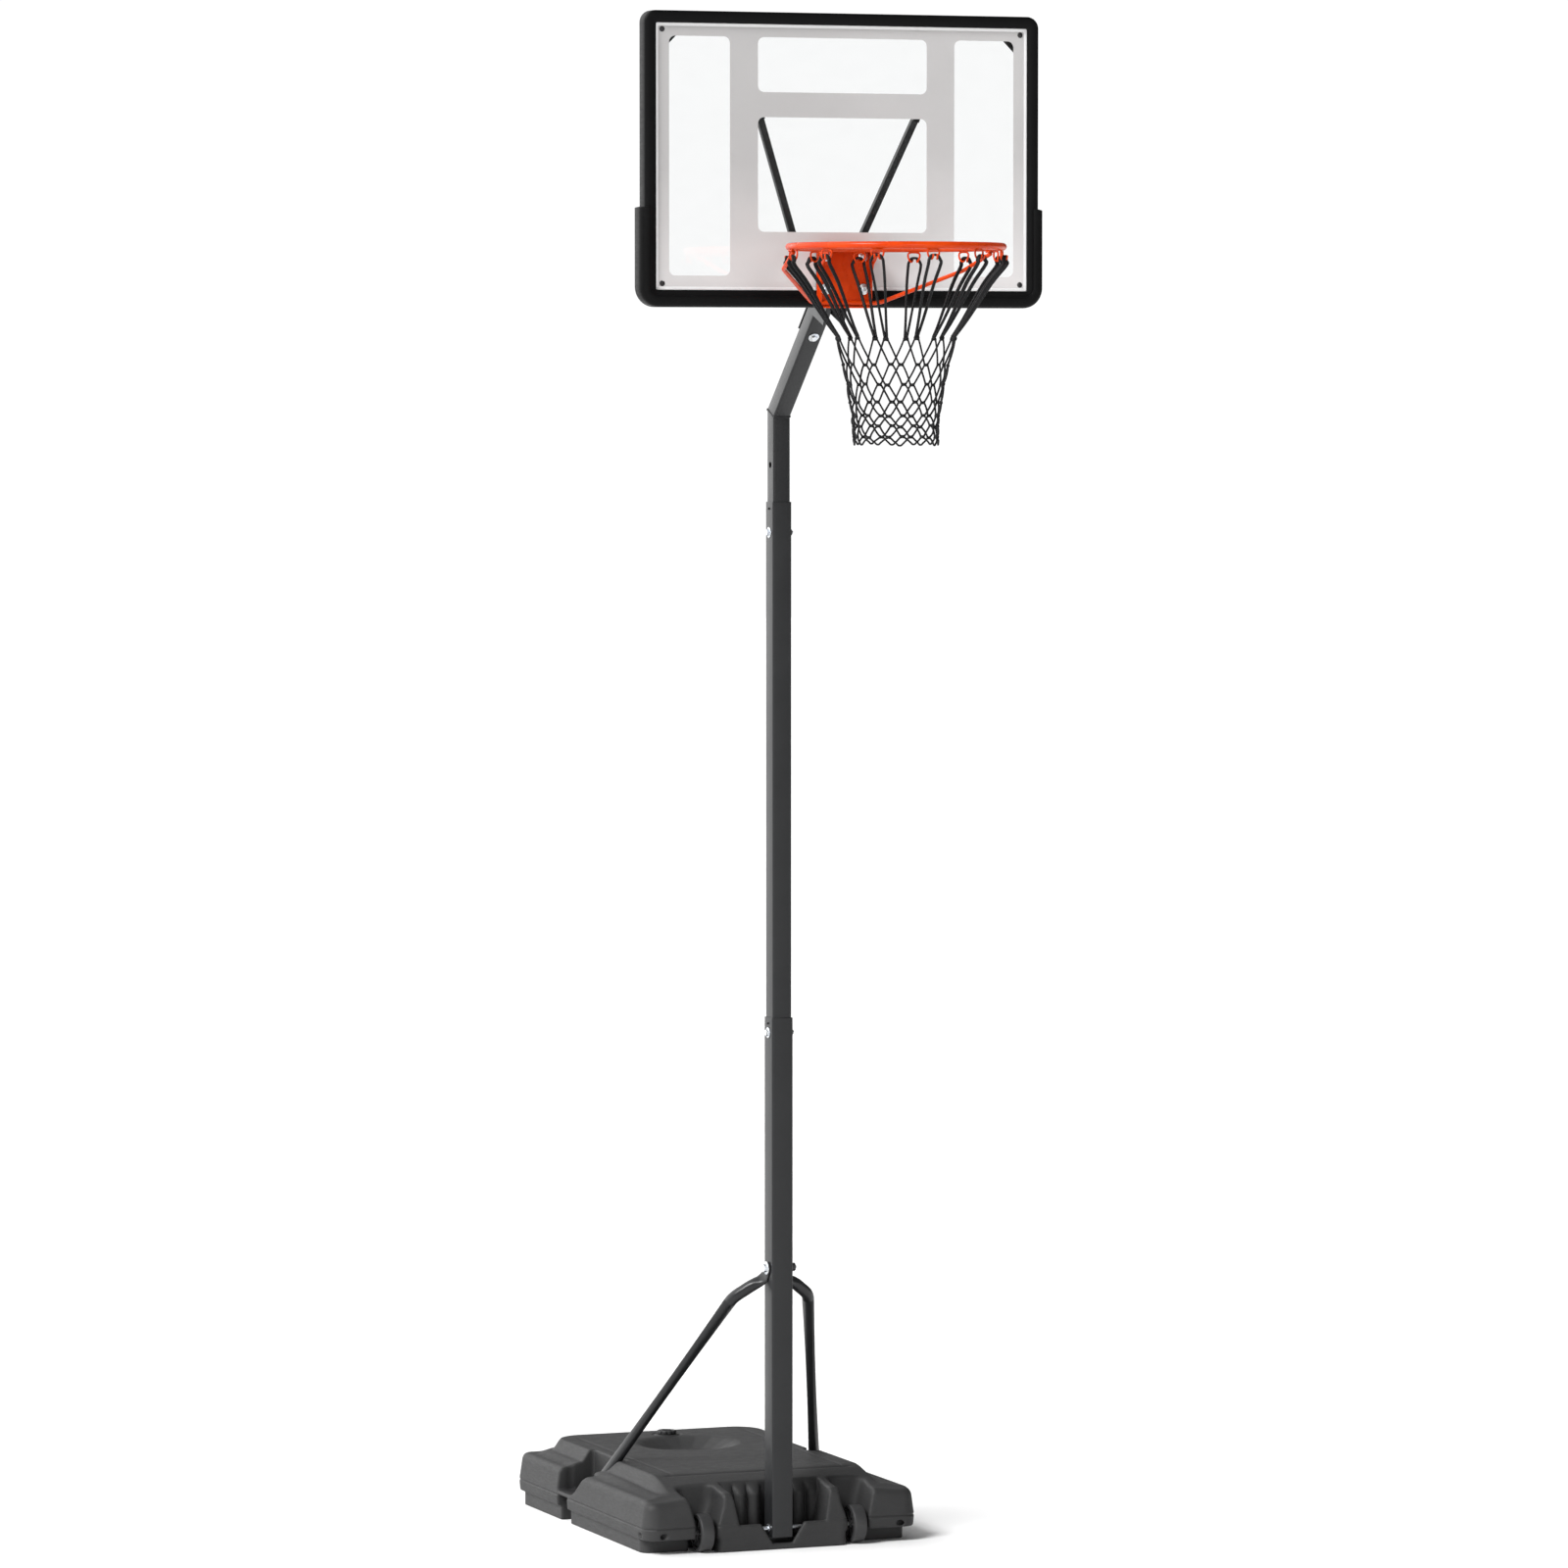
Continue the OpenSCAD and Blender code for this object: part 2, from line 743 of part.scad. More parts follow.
module brace_bolt() color(zinc) {
    translate([0, brace_bolt_p[1], 0])
        mast_bolt(brace_bolt_p[2], 2 * (flange_in + 2 * flange_t), m8);
}

module brace_nut() color(zinc) {
    translate([0, brace_bolt_p[1], 0])
        mast_nut(brace_bolt_p[2], 2 * (flange_in + 2 * flange_t), m8);
}

module brace() color(black) {
    tab_r = 11;
    tab_l = 1.5 * brace_end;
    difference() {
        union() {
            along(tube_low, tube_high)
                rotate(-atan2(tube_high[1] - tube_low[1], tube_high[0] - tube_low[0]))
                    square_tube(brace_w, brace_wall, 2, norm(tube_high - tube_low));
            // flattened lower end, on the bracket's cheek
            translate(brace_low)
                rotate([90, 0, 90])
                    linear_extrude(flange_t) {
                        circle(tab_r);
                        translate([-brace_w / 2, 0])
                            square([brace_w, tab_l]);
                    }
            // flattened upper end, on the rear frame
            translate(brace_high + [0, flange_t, 0])
                rotate([90, brace_lean, 0])
                    linear_extrude(flange_t) {
                        circle(tab_r);
                        translate([-brace_w / 2, -tab_l])
                            square([brace_w, tab_l]);
                    }
        }
        x_rod(brace_low, m8 + 2 * bolt_gap, 4 * flange_t);
        y_rod(brace_high, m8 + 2 * bolt_gap, 4 * flange_t);
    }
}

module brace_right() brace();
module brace_left() mirror([1, 0, 0]) brace();

module brace_top_bolts() color(zinc) {
    for (s = [-1, 1])
        translate([s * brace_high[0], rear_y + flange_t, brace_high[2]])
            rotate([-90, 0, 0])
                hex_bolt(m8, flange_t + rear_deep - 2);
}

// ---------- backboard ----------

// A hollow frame tube with closed ends, from corner a with size s
module frame_tube(a, s) {
    w = rear_wall * [1, 1, 1];
    translate(a)
        difference() {
            cube(s);
            translate(w)
                cube(s - 2 * w);
        }
}

module rear_frame() color(black) {
    tuck = panel_tuck - 1;
    x1 = board_w / 2 + tuck;
    z0 = board_z - tuck;
    z1 = board_z + board_h + tuck;
    y0 = face_y + panel_t;
    in_z = z0 + rear_tube;
    in_h = z1 - z0 - 2 * rear_tube;
    difference() {
        union() {
            for (z = [z0, z1 - rear_tube])
                frame_tube([-x1, y0, z], [2 * x1, rear_deep, rear_tube]);
            for (x = [-x1, x1 - rear_tube])
                frame_tube([x, y0, in_z], [rear_tube, rear_deep, in_h]);
            for (s = [-1, 1])
                frame_tube([s * upright_x - upright_w / 2, y0, in_z], [upright_w, rear_deep, in_h]);
            for (z = [low_rail_z, cross_z - upright_w / 2])
                frame_tube([-upright_x + upright_w / 2, y0, z],
                    [2 * upright_x - upright_w, rear_deep, upright_w]);
            // corner gussets
            for (sx = [-1, 1], sz = [-1, 1])
                translate([sx * (x1 - rear_tube), y0 + rear_deep / 2,
                    board_mid_z + sz * (board_h / 2 + tuck - rear_tube)])
                    rotate([90, 0, 0])
                        linear_extrude(gusset_t)
                            polygon([[sx, sz], [-sx * gusset, sz], [sx, -sz * gusset]]);
            // solid lugs for the bolts of the braces, the corners and the rim
            for (s = [-1, 1])
                translate([s * brace_high[0] - 12, y0, cross_z - upright_w / 2])
                    cube([24, rear_deep, upright_w]);
            for (sx = [-1, 1], z = [z0, z1 - rear_tube])
                translate([sx * (x1 - rear_tube / 2) - rear_tube / 2, y0, z])
                    cube([rear_tube, rear_deep, rear_tube]);
            for (sx = [-1, 1])
                translate([sx * pattern[0] / 2 - 12, y0, in_z])
                    cube([24, rim_lug_t, pattern_z + pattern[1] / 2 + 14 - in_z]);
        }
        for (s = [-1, 1])
            y_rod([s * brace_high[0], y0 + rear_deep, cross_z], m8 + 2 * bolt_gap, 2 * rear_deep);
        rim_holes(y0, 6 * rear_deep);
        corner_holes(4.2);
    }
}

module rim_holes(y, length) {
    for (sx = [-1, 1], sz = [-1, 1])
        y_rod([sx * pattern[0] / 2, y, pattern_z + sz * pattern[1] / 2], m8 + 2 * bolt_gap, length);
}

module corner_holes(d) {
    for (sx = [-1, 1], sz = [-1, 1])
        y_rod([sx * (board_w / 2 - screw_in[0]), face_y + panel_t,
            board_mid_z + sz * (board_h / 2 - screw_in[1])], d, 2 * panel_t + 20);
}

module board_prism(grow, r, y0, y1) {
    translate([0, y1, board_mid_z])
        rotate([90, 0, 0])
            linear_extrude(y1 - y0)
                rounded_square([board_w + 2 * grow, board_h + 2 * grow], r);
}

module backboard_panel() color([0.85, 0.86, 0.88, 0.5]) {
    difference() {
        board_prism(panel_tuck, 10, face_y, face_y + panel_t);
        rim_holes(face_y, 4 * panel_t);
        corner_holes(4.2);
    }
}

module edge_frame() color(black) {
    difference() {
        board_prism(edge_side, 34, face_y - edge_front, face_y + edge_back);
        board_prism(0, 4, face_y - edge_front - eps, face_y + eps);
        board_prism(panel_tuck + 0.3, 2, face_y, face_y + edge_back + eps);
        rim_holes(face_y - edge_front, 4 * edge_front);
    }
}

module lower_trim() color(black) {
    grow = edge_side + trim_side;
    difference() {
        board_prism(grow, 44, face_y - edge_front - trim_t, face_y + edge_back + 2);
        board_prism(edge_side + trim_gap, 34, face_y - edge_front - trim_gap,
            face_y + edge_back + 3);
        board_prism(edge_side - trim_lip, 20, face_y - edge_front - trim_t - eps, face_y);
        translate([-board_w, face_y - board_w, trim_top_z])
            cube([2 * board_w, 2 * board_w, board_w]);
        // gap behind the rim plate
        translate([-plate_w / 2 - 2, face_y - edge_front - trim_t - eps, plate_z0 - 2])
            cube([plate_w + 4, trim_t + eps, 60]);
    }
}

module corner_screws() color(black) {
    for (sx = [-1, 1], sz = [-1, 1])
        translate([sx * (board_w / 2 - screw_in[0]), face_y,
            board_mid_z + sz * (board_h / 2 - screw_in[1])])
            rotate([90, 0, 0]) {
                translate([0, 0, -13])
                    cylinder(d = 4, h = 13 + eps);
                cylinder(d1 = 11, d2 = 7, h = 2.5);
            }
}

module spacer_pad() color(black) {
    pad_z0 = board_z + 2;
    pad_top = rim_height - 12;
    difference() {
        translate([-plate_w / 2 + 2, face_y - edge_front, pad_z0])
            cube([plate_w - 4, edge_front, pad_top - pad_z0]);
        rim_holes(face_y, 4 * edge_front);
    }
}

// ---------- rim ----------

module ring_torus(bar_d) {
    translate([0, ring_y, ring_z])
        rotate_extrude($fn = 96)
            translate([ring_r, 0])
                circle(d = bar_d);
}

module rim_ring() color(orange) ring_torus(rim_bar);

module rim_plate() color(orange) {
    flange_end = ring_y + ring_r;
    flange_half = plate_w / 2 - 3;
    difference() {
        union() {
            translate([0, plate_y + plate_t, (plate_z0 + ring_z + plate_t / 2) / 2])
                rotate([90, 0, 0])
                    linear_extrude(plate_t)
                        rounded_square([plate_w, ring_z + plate_t / 2 - plate_z0], 5);
            // top flange that reaches the rim, and a gusset under each side
            translate([-flange_half, flange_end - 12, ring_z - plate_t / 2])
                cube([2 * flange_half, plate_y + plate_t - flange_end + 12, plate_t]);
            for (s = [-1, 1])
                translate([s > 0 ? flange_half - plate_t : -flange_half, 0, 0])
                    rotate([90, 0, 90])
                        linear_extrude(plate_t)
                            polygon([[plate_y + eps, ring_z - 30], [plate_y + eps, ring_z],
                                [flange_end, ring_z]]);
        }
        ring_torus(rim_bar + 0.1);
        rim_holes(plate_y, 4 * plate_t);
        translate([0, ring_y, ring_z])
            cylinder(r = ring_r, h = 3 * rim_bar, center = true);
    }
}

module rim_brace() color(orange) {
    cross_half = 78;
    y0 = plate_y - rod_d / 2;
    end_z = ring_z - rim_bar / 2 - rod_d / 2 - eps;
    kink = [210, plate_y - 170, rod_cross_z + 70];
    side = [ring_r, ring_y + 2 * hook_r, end_z];
    swept_rod(rounded_path([[-side[0], side[1], side[2]], [-kink[0], kink[1], kink[2]],
        [-cross_half, y0, rod_cross_z], [cross_half, y0, rod_cross_z], kink, side],
        1.5 * rod_d), rod_d);
}

module net_hooks() color(orange) {
    for (i = [0:hook_count - 1])
        translate([0, ring_y, hook_z])
            rotate(i * 360 / hook_count)
                translate([ring_r, 0, 0])
                    rotate([0, 90, 0])
                        rotate_extrude($fn = 32)
                            translate([hook_r, 0])
                                circle(d = hook_bar, $fn = 16);
}

module rim_bolts() color(zinc) {
    for (sx = [-1, 1], sz = [-1, 1])
        translate([sx * pattern[0] / 2, plate_y, pattern_z + sz * pattern[1] / 2])
            rotate([90, 0, 0])
                hex_bolt(m8, plate_t + edge_front + panel_t + rear_deep + washer_t + nut_h * m8 + 2);
}

module rim_nuts() color(zinc) {
    for (sx = [-1, 1], sz = [-1, 1])
        translate([sx * pattern[0] / 2, sz > 0 ? face_y + panel_t + rim_lug_t : rear_y,
            pattern_z + sz * pattern[1] / 2])
            rotate([-90, 0, 0])
                hex_nut(m8);
}

// A thin tapered sleeve: the outer shape of the knotted net
module net() color(black) {
    outside = [for (p = net_shape) [p[1] + net_t / 2, -p[0] * net_l]];
    inside = [for (i = [len(net_shape) - 1:-1:0]) [net_shape[i][1] - net_t / 2,
        -net_shape[i][0] * net_l]];
    translate([0, ring_y, ring_z])
        rotate_extrude($fn = 48)
            polygon(concat(outside, inside));
}

base_tank();
water_ballast();
fill_cap();
cap_seal();
wheel_axle();
wheel_left();
wheel_right();
lower_pole();
middle_pole();
upper_pole();
strut_left();
strut_right();
strut_pivot_bolt();
strut_pivot_nut();
strut_foot_bolts();
strut_foot_nuts();
pole_joint_bolt();
pole_joint_nut();
height_bolt();
height_nut();
set_screws();
arm_end_plug();
head_bracket();
arm_bolt();
arm_nut();
brace_bolt();
brace_nut();
brace_left();
brace_right();
brace_top_bolts();
rear_frame();
backboard_panel();
edge_frame();
lower_trim();
corner_screws();
spacer_pad();
rim_plate();
rim_ring();
rim_brace();
net_hooks();
rim_bolts();
rim_nuts();
net();
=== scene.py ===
import json
from math import copysign, cos, pi, radians, sin, tan, tau

import bmesh
import bpy
import numpy as np
import openvdb
from mathutils import Matrix, Vector


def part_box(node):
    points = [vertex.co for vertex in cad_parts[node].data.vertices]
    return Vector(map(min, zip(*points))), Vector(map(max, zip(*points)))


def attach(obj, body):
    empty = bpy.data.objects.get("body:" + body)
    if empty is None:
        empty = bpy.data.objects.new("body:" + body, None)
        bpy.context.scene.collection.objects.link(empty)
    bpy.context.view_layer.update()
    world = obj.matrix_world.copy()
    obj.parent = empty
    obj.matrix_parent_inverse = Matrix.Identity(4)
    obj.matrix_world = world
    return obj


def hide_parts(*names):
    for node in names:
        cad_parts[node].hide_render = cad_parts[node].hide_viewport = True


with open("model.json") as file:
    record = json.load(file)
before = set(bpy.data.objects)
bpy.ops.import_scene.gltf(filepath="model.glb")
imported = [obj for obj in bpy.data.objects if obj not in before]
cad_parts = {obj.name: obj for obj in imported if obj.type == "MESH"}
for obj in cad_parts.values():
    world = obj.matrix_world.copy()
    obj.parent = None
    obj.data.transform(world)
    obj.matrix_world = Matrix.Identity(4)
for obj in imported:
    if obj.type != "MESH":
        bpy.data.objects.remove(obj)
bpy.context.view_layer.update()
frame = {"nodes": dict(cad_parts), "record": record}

# ---------- sizes from the frame, in metres ----------

LOWER, MIDDLE, UPPER = (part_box(n) for n in ("lower_pole", "middle_pole", "upper_pole"))
TANK, CAP, PANEL, EDGE = (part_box(n) for n in ("base_tank", "fill_cap", "backboard_panel", "edge_frame"))
TRIM, REAR, RING, PLATE = (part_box(n) for n in ("lower_trim", "rear_frame", "rim_ring", "rim_plate"))

MM = 0.001
WALL = 0.0015
TUBE_CORNER = 0.004
ARM_ANGLE = radians(42.7)
ARM_LENGTH = 0.462
ELBOW = Vector((0, 0, 2.535))
ARM_DIR = Vector((0, -cos(ARM_ANGLE), sin(ARM_ANGLE)))
ARM_UP = Vector((0, sin(ARM_ANGLE), cos(ARM_ANGLE)))
STRUT_TOP_Z = 0.629
STRUT_R = 0.0138
JOINT_Z = 1.156
HEIGHT_Z = 2.270
HOLE_PITCH = 0.150
HOLE_R = 0.007
FACE_Y = PANEL[0].y
TUCK = 0.007
BOARD = (PANEL[1].x - TUCK, PANEL[0].z + TUCK, PANEL[1].z - TUCK)
RIM_BAR = (RING[1].z - RING[0].z) / 2
RIM_R = (RING[1].x - RING[0].x) / 2 - RIM_BAR
RIM_C = Vector((0, (RING[0].y + RING[1].y) / 2, (RING[0].z + RING[1].z) / 2))
AXLE_Z = (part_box("wheel_axle")[0].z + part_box("wheel_axle")[1].z) / 2
X, Y, Z = Vector((1, 0, 0)), Vector((0, 1, 0)), Vector((0, 0, 1))


def new_object(name, data):
    obj = bpy.data.objects.new(name, data)
    bpy.context.scene.collection.objects.link(obj)
    return obj


# ---------- camera ----------

def make_camera():
    data = bpy.data.cameras.new("camera")
    data.lens, data.sensor_width, data.clip_end = 172.16, 36, 100
    camera = new_object("camera", data)
    camera.location = (-6.0882, -15.5090, 2.6186)
    camera.rotation_euler = (radians(90 - 3.12), 0, radians(-21.474))
    bpy.context.scene.camera = camera


make_camera()


# ---------- materials ----------

MATERIALS = {}


class Shader:
    """A node material with short calls for what its nodes do."""

    def __init__(self, name, **settings):
        MATERIALS[name] = self.material = bpy.data.materials.new(name)
        self.material.use_nodes = True
        self.tree = self.material.node_tree
        self.bsdf = self.tree.nodes["Principled BSDF"]
        self.place = self.node("TexCoord", out="Object")
        self.set(**settings)

    def feed(self, socket, value):
        if isinstance(value, bpy.types.NodeSocket):
            self.tree.links.new(value, socket)
        else:
            colour = socket.type == "RGBA" and len(value) == 3
            socket.default_value = (*value, 1) if colour else value

    def set(self, **settings):
        for key, value in settings.items():
            self.feed(self.bsdf.inputs[key.replace("_", " ")], value)

    def node(self, kind, inputs=None, out=0, **values):
        made = self.tree.nodes.new("ShaderNode" + kind)
        for key, value in values.items():
            setattr(made, key, value)
        for key, value in (inputs or {}).items():
            self.feed(made.inputs[key], value)
        return made.outputs[out]

    def noise(self, scale, detail=3.0, rough=0.5, stretch=(1, 1, 1)):
        where = self.node("Mapping", {"Vector": self.place, "Scale": stretch})
        return self.node("TexNoise", {"Vector": where, "Scale": scale, "Detail": detail, "Roughness": rough})

    def fit(self, value, low, high, to_low=0.0, to_high=1.0):
        return self.node("MapRange", {"Value": value, "From Min": low, "From Max": high,
                                      "To Min": to_low, "To Max": to_high})

    def sum(self, a, b, kind="ADD"):
        return self.node("Math", {0: a, 1: b}, operation=kind)

    def times(self, a, b):
        return self.sum(a, b, "MULTIPLY")

    def mix(self, share, a, b):
        return self.node("Mix", {0: share, 6: a, 7: b}, 2, data_type="RGBA")

    def edges(self, low=0.53, high=0.6):
        """Where the surface turns outwards sharply, and so wears first."""
        return self.fit(self.node("NewGeometry", out="Pointiness"), low, high)

    def bump(self, height, depth):
        return self.node("Bump", {"Height": height, "Distance": depth})

    def parts(self, vector):
        """The outputs x, y and z of a vector."""
        return self.node("SeparateXYZ", {0: vector}).node.outputs


def moulded_plastic(name, colour, rough, pebble, depth, worn=0.35, shine=0.45):
    """Blow-moulded or injected plastic: a fine pebble, faint mottling, scuffed edges."""
    s = Shader(name)
    mottle, scratches = s.noise(9, 5, 0.6), s.noise(40, 6, 0.75, stretch=(1, 1, 6))
    pale = tuple(min(1, 2.1 * c + 0.02) for c in colour)
    base = s.mix(s.fit(mottle, 0.35, 0.65), tuple(0.82 * c for c in colour), colour)
    scuff = s.times(s.edges(), s.fit(scratches, 0.45, 0.7))
    base = s.mix(s.times(scuff, worn), base, pale)
    grain = s.node("TexVoronoi", {"Vector": s.place, "Scale": pebble}, "Distance")
    s.set(Base_Color=base, Roughness=s.fit(scratches, 0.3, 0.7, rough - 0.07, rough + 0.09),
          Normal=s.bump(s.sum(grain, s.noise(pebble * 0.6, 2)), depth), Specular_IOR_Level=shine)


def powder_coat(name, colour, shine, coat):
    """Powder coat on steel: orange peel, clouds and a fine speckle."""
    s = Shader(name)
    cloud = s.noise(6, 4, 0.6)
    lighter = tuple(1.35 * c + 0.004 for c in colour)
    base = s.mix(s.fit(cloud, 0.3, 0.7, 0, 0.55), colour, lighter)
    base = s.mix(s.fit(s.noise(2600, 1, 0.4), 0.62, 0.75, 0, 0.12), base, lighter)
    s.set(Base_Color=base, Roughness=s.fit(cloud, 0.3, 0.7, 0.29, 0.41), Coat_Weight=coat,
          Coat_Roughness=0.2, Normal=s.bump(s.noise(420, 2, 0.4), 0.00005), Specular_IOR_Level=shine)


def gloss_paint(name, colour):
    """Sprayed gloss enamel, a little deeper in places, chipped at its edges."""
    s = Shader(name)
    cloud = s.noise(14, 4, 0.6)
    deep = (0.8 * colour[0], 0.62 * colour[1], 0.6 * colour[2])
    base = s.mix(s.fit(cloud, 0.32, 0.68), deep, colour)
    chips = s.times(s.edges(0.58, 0.68), s.fit(s.noise(220, 5, 0.7), 0.52, 0.62))
    base = s.mix(s.times(chips, 0.4), base, (0.2, 0.08, 0.05))
    s.set(Base_Color=base, Roughness=s.fit(cloud, 0.3, 0.7, 0.22, 0.34), Coat_Weight=0.06,
          Coat_Roughness=0.12, Normal=s.bump(s.noise(260, 2, 0.35), 0.0001), Specular_IOR_Level=0.15)


def plated_steel(name, colour, rough, metal=1.0, warm=(0.78, 0.76, 0.70)):
    """Bright zinc or black oxide: a drifting tint and fine scratches."""
    s = Shader(name, Metallic=metal)
    lines = s.noise(700, 4, 0.7, stretch=(1, 1, 9))
    s.set(Base_Color=s.mix(s.fit(s.noise(90, 3, 0.5), 0.35, 0.65, 0, 0.6), colour, warm),
          Roughness=s.fit(lines, 0.3, 0.7, rough - 0.07, rough + 0.1), Normal=s.bump(lines, 0.00004))


def rubber(name):
    s = Shader(name)
    dust = s.noise(30, 5, 0.7)
    s.set(Base_Color=s.mix(s.fit(dust, 0.45, 0.75, 0, 0.5), (0.012, 0.012, 0.012), (0.045, 0.043, 0.04)),
          Roughness=s.fit(dust, 0.3, 0.7, 0.62, 0.8), Normal=s.bump(s.noise(1500, 2), 0.00008),
          Specular_IOR_Level=0.3)


def clear_sheet(name):
    """Clear acrylic: light goes straight through, and the surface mirrors its share of it."""
    s = Shader(name, Base_Color=(0.9, 0.93, 0.95), Roughness=0.04)
    haze = s.times(s.noise(22, 6, 0.7, stretch=(1, 1, 2)), s.noise(300, 5, 0.7, stretch=(1, 1, 4)))
    smear = s.fit(haze, 0.2, 0.45)
    gloss = s.node("BsdfGlossy", {"Color": (1, 1, 1), "Roughness": s.fit(smear, 0, 1, 0.02, 0.09)})
    through = s.node("BsdfTransparent", {"Color": (0.985, 0.99, 0.99)})
    # Schlick's share, the same on both sides of the sheet
    facing = s.node("LayerWeight", {"Blend": 0.5}, "Facing")
    share = s.sum(s.times(s.sum(facing, 5.0, "POWER"), 0.96), 0.04)
    mirror = s.sum(share, s.fit(smear, 0, 1, 0.0, 0.02))
    mixed = s.node("MixShader", {0: mirror, 1: through, 2: gloss})
    s.feed(s.tree.nodes["Material Output"].inputs["Surface"], mixed)


def screen_ink(name, colour, painted_shade):
    """Opaque screen-printed ink with a fine metallic flake, and painted shade that darkens it towards the
    panel's top and left, so it is paler towards its lower right corner.
    """
    s = Shader(name)
    flake = s.noise(1800, 2, 0.5)
    place = s.parts(s.place)
    # painted shade: share moves the ink from its colour to its shade towards the top and the left, standing
    # in for how the light falls on the panel
    height = s.fit(place[2], PANEL[0].z, PANEL[0].z + 0.30, 0.0, 0.75)
    across = s.fit(place[0], PANEL[0].x, PANEL[1].x, 0.35, 0.0)
    share = s.sum(s.sum(height, across), s.fit(s.noise(5, 3, 0.5), 0.3, 0.7, -0.08, 0.08))
    bright = tuple(min(1, 1.1 * c) for c in colour)
    s.set(Base_Color=s.mix(s.fit(flake, 0.55, 0.75, 0, 0.3), s.mix(share, colour, painted_shade), bright),
          Roughness=s.fit(flake, 0.3, 0.7, 0.3, 0.38), Normal=s.bump(flake, 0.00002), Metallic=0.1)


def twisted_cord(name):
    """Black nylon rope: the UV runs along the cord (u, in metres) and round it (v, 0 to 1)."""
    s = Shader(name)
    uv = s.parts(s.node("UVMap"))
    twist = s.sum(s.times(uv[0], 110.0), s.times(uv[1], 3.0))
    wave = s.node("Math", {0: s.times(twist, tau)}, operation="SINE")
    strand, fuzz = s.fit(wave, -1, 1), s.noise(2400, 3, 0.7)
    base = s.mix(strand, (0.0015, 0.0015, 0.002), (0.006, 0.006, 0.007))
    base = s.mix(s.fit(fuzz, 0.55, 0.8, 0, 0.2), base, (0.018, 0.019, 0.021))
    s.set(Base_Color=base, Roughness=s.fit(fuzz, 0.3, 0.7, 0.5, 0.7), Specular_IOR_Level=0.25,
          Normal=s.bump(s.sum(strand, s.times(fuzz, 0.4)), 0.0004))


def still_water(name):
    s = Shader(name, Base_Color=(0.62, 0.72, 0.75), Transmission_Weight=0.9, IOR=1.33)
    s.set(Roughness=s.fit(s.noise(6, 3), 0.3, 0.7, 0.02, 0.06), Normal=s.bump(s.noise(18, 2), 0.0005))


moulded_plastic("tank_plastic", (0.031, 0.031, 0.0315), 0.56, 620, 0.00018, shine=0.26)
moulded_plastic("cap_plastic", (0.014, 0.014, 0.015), 0.42, 1400, 0.00006)
moulded_plastic("wheel_plastic", (0.03, 0.03, 0.031), 0.5, 1100, 0.0001)
moulded_plastic("frame_plastic", (0.0036, 0.0036, 0.0038), 0.46, 1300, 0.00006, 0.2, 0.1)
powder_coat("mast_paint", (0.0125, 0.0130, 0.0140), 0.27, 0.14)
powder_coat("black_paint", (0.006, 0.006, 0.0065), 0.2, 0.05)
gloss_paint("rim_paint", (0.68, 0.058, 0.003))
plated_steel("zinc_steel", (0.72, 0.76, 0.82), 0.3)
plated_steel("dark_steel", (0.045, 0.045, 0.048), 0.38, 0.7, (0.03, 0.026, 0.022))
rubber("seal_rubber")
rubber("pad_rubber")
clear_sheet("clear_panel")
twisted_cord("net_cord")
still_water("water")
# each ink's second colour is its painted shade, reached towards the panel's top and left
screen_ink("silver_ink", (0.76, 0.737, 0.734), (0.48, 0.472, 0.47))
screen_ink("white_ink", (0.98, 0.98, 0.98), (0.96, 0.96, 0.96))


# ---------- mesh helpers ----------

class Shape:
    """Vertices and faces that collect into one piece."""

    def __init__(self):
        self.verts, self.faces = [], []

    def add(self, verts, faces, matrix=None):
        start = len(self.verts)
        self.verts += [tuple(matrix @ Vector(v) if matrix else v) for v in verts]
        self.faces += [tuple(start + i for i in f) for f in faces]
        return self

    def piece(self, name, body, slot, replaces=(), sharp=32):
        mesh = self.mesh(name)
        mesh.validate()
        return finish_piece(mend(mesh), name, body, slot, replaces, sharp)

    def mesh(self, name):
        mesh = bpy.data.meshes.new(name)
        mesh.from_pydata(self.verts, [], self.faces)
        return mesh


def mend(mesh, merge=0.0):
    """Joins points closer than merge and turns every face outwards."""
    bm = bmesh.new()
    bm.from_mesh(mesh)
    if merge:
        bmesh.ops.remove_doubles(bm, verts=bm.verts, dist=merge)
    bmesh.ops.recalc_face_normals(bm, faces=bm.faces)
    bm.to_mesh(mesh)
    bm.free()
    return mesh


def smooth(mesh, sharp):
    """Smooth shading, with edges that turn by more than sharp degrees left hard."""
    mesh.shade_smooth()
    mesh.set_sharp_from_angle(angle=radians(sharp))


def finish_piece(mesh, name, body, slot, replaces=(), sharp=32, material=None):
    """Makes the object, gives it its finish and its body, and hides the CAD nodes it stands for."""
    mesh.materials.clear()
    mesh.materials.append(MATERIALS[material or slot])
    smooth(mesh, sharp)
    obj = new_object(name, mesh)
    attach(obj, body)
    if replaces:
        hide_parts(*replaces)
    return obj


def loft(rings, closed=False):
    """Skin over rings of the same length. closed joins the last ring to the first; else both are capped."""
    rings = np.asarray([[tuple(p) for p in ring] for ring in rings], float)
    n, m = rings.shape[:2]
    faces = []
    for i in range(n if closed else n - 1):
        a, b = i * m, (i + 1) % n * m
        faces += [(a + k, a + (k + 1) % m, b + (k + 1) % m, b + k) for k in range(m)]
    if not closed:
        faces += [tuple(range(m - 1, -1, -1)), tuple(range((n - 1) * m, n * m))]
    return rings.reshape(-1, 3), faces


def turns(steps):
    return [tau * k / steps for k in range(steps)]


def circle(r, steps):
    return [(r * cos(a), r * sin(a)) for a in turns(steps)]


def disc(r, z, steps=48):
    return [(x, y, z) for x, y in circle(r, steps)]


def at_each_x(points, xs):
    """Rings of (y, z) points, one at each x."""
    return [[(x, y, z) for y, z in points] for x in xs]


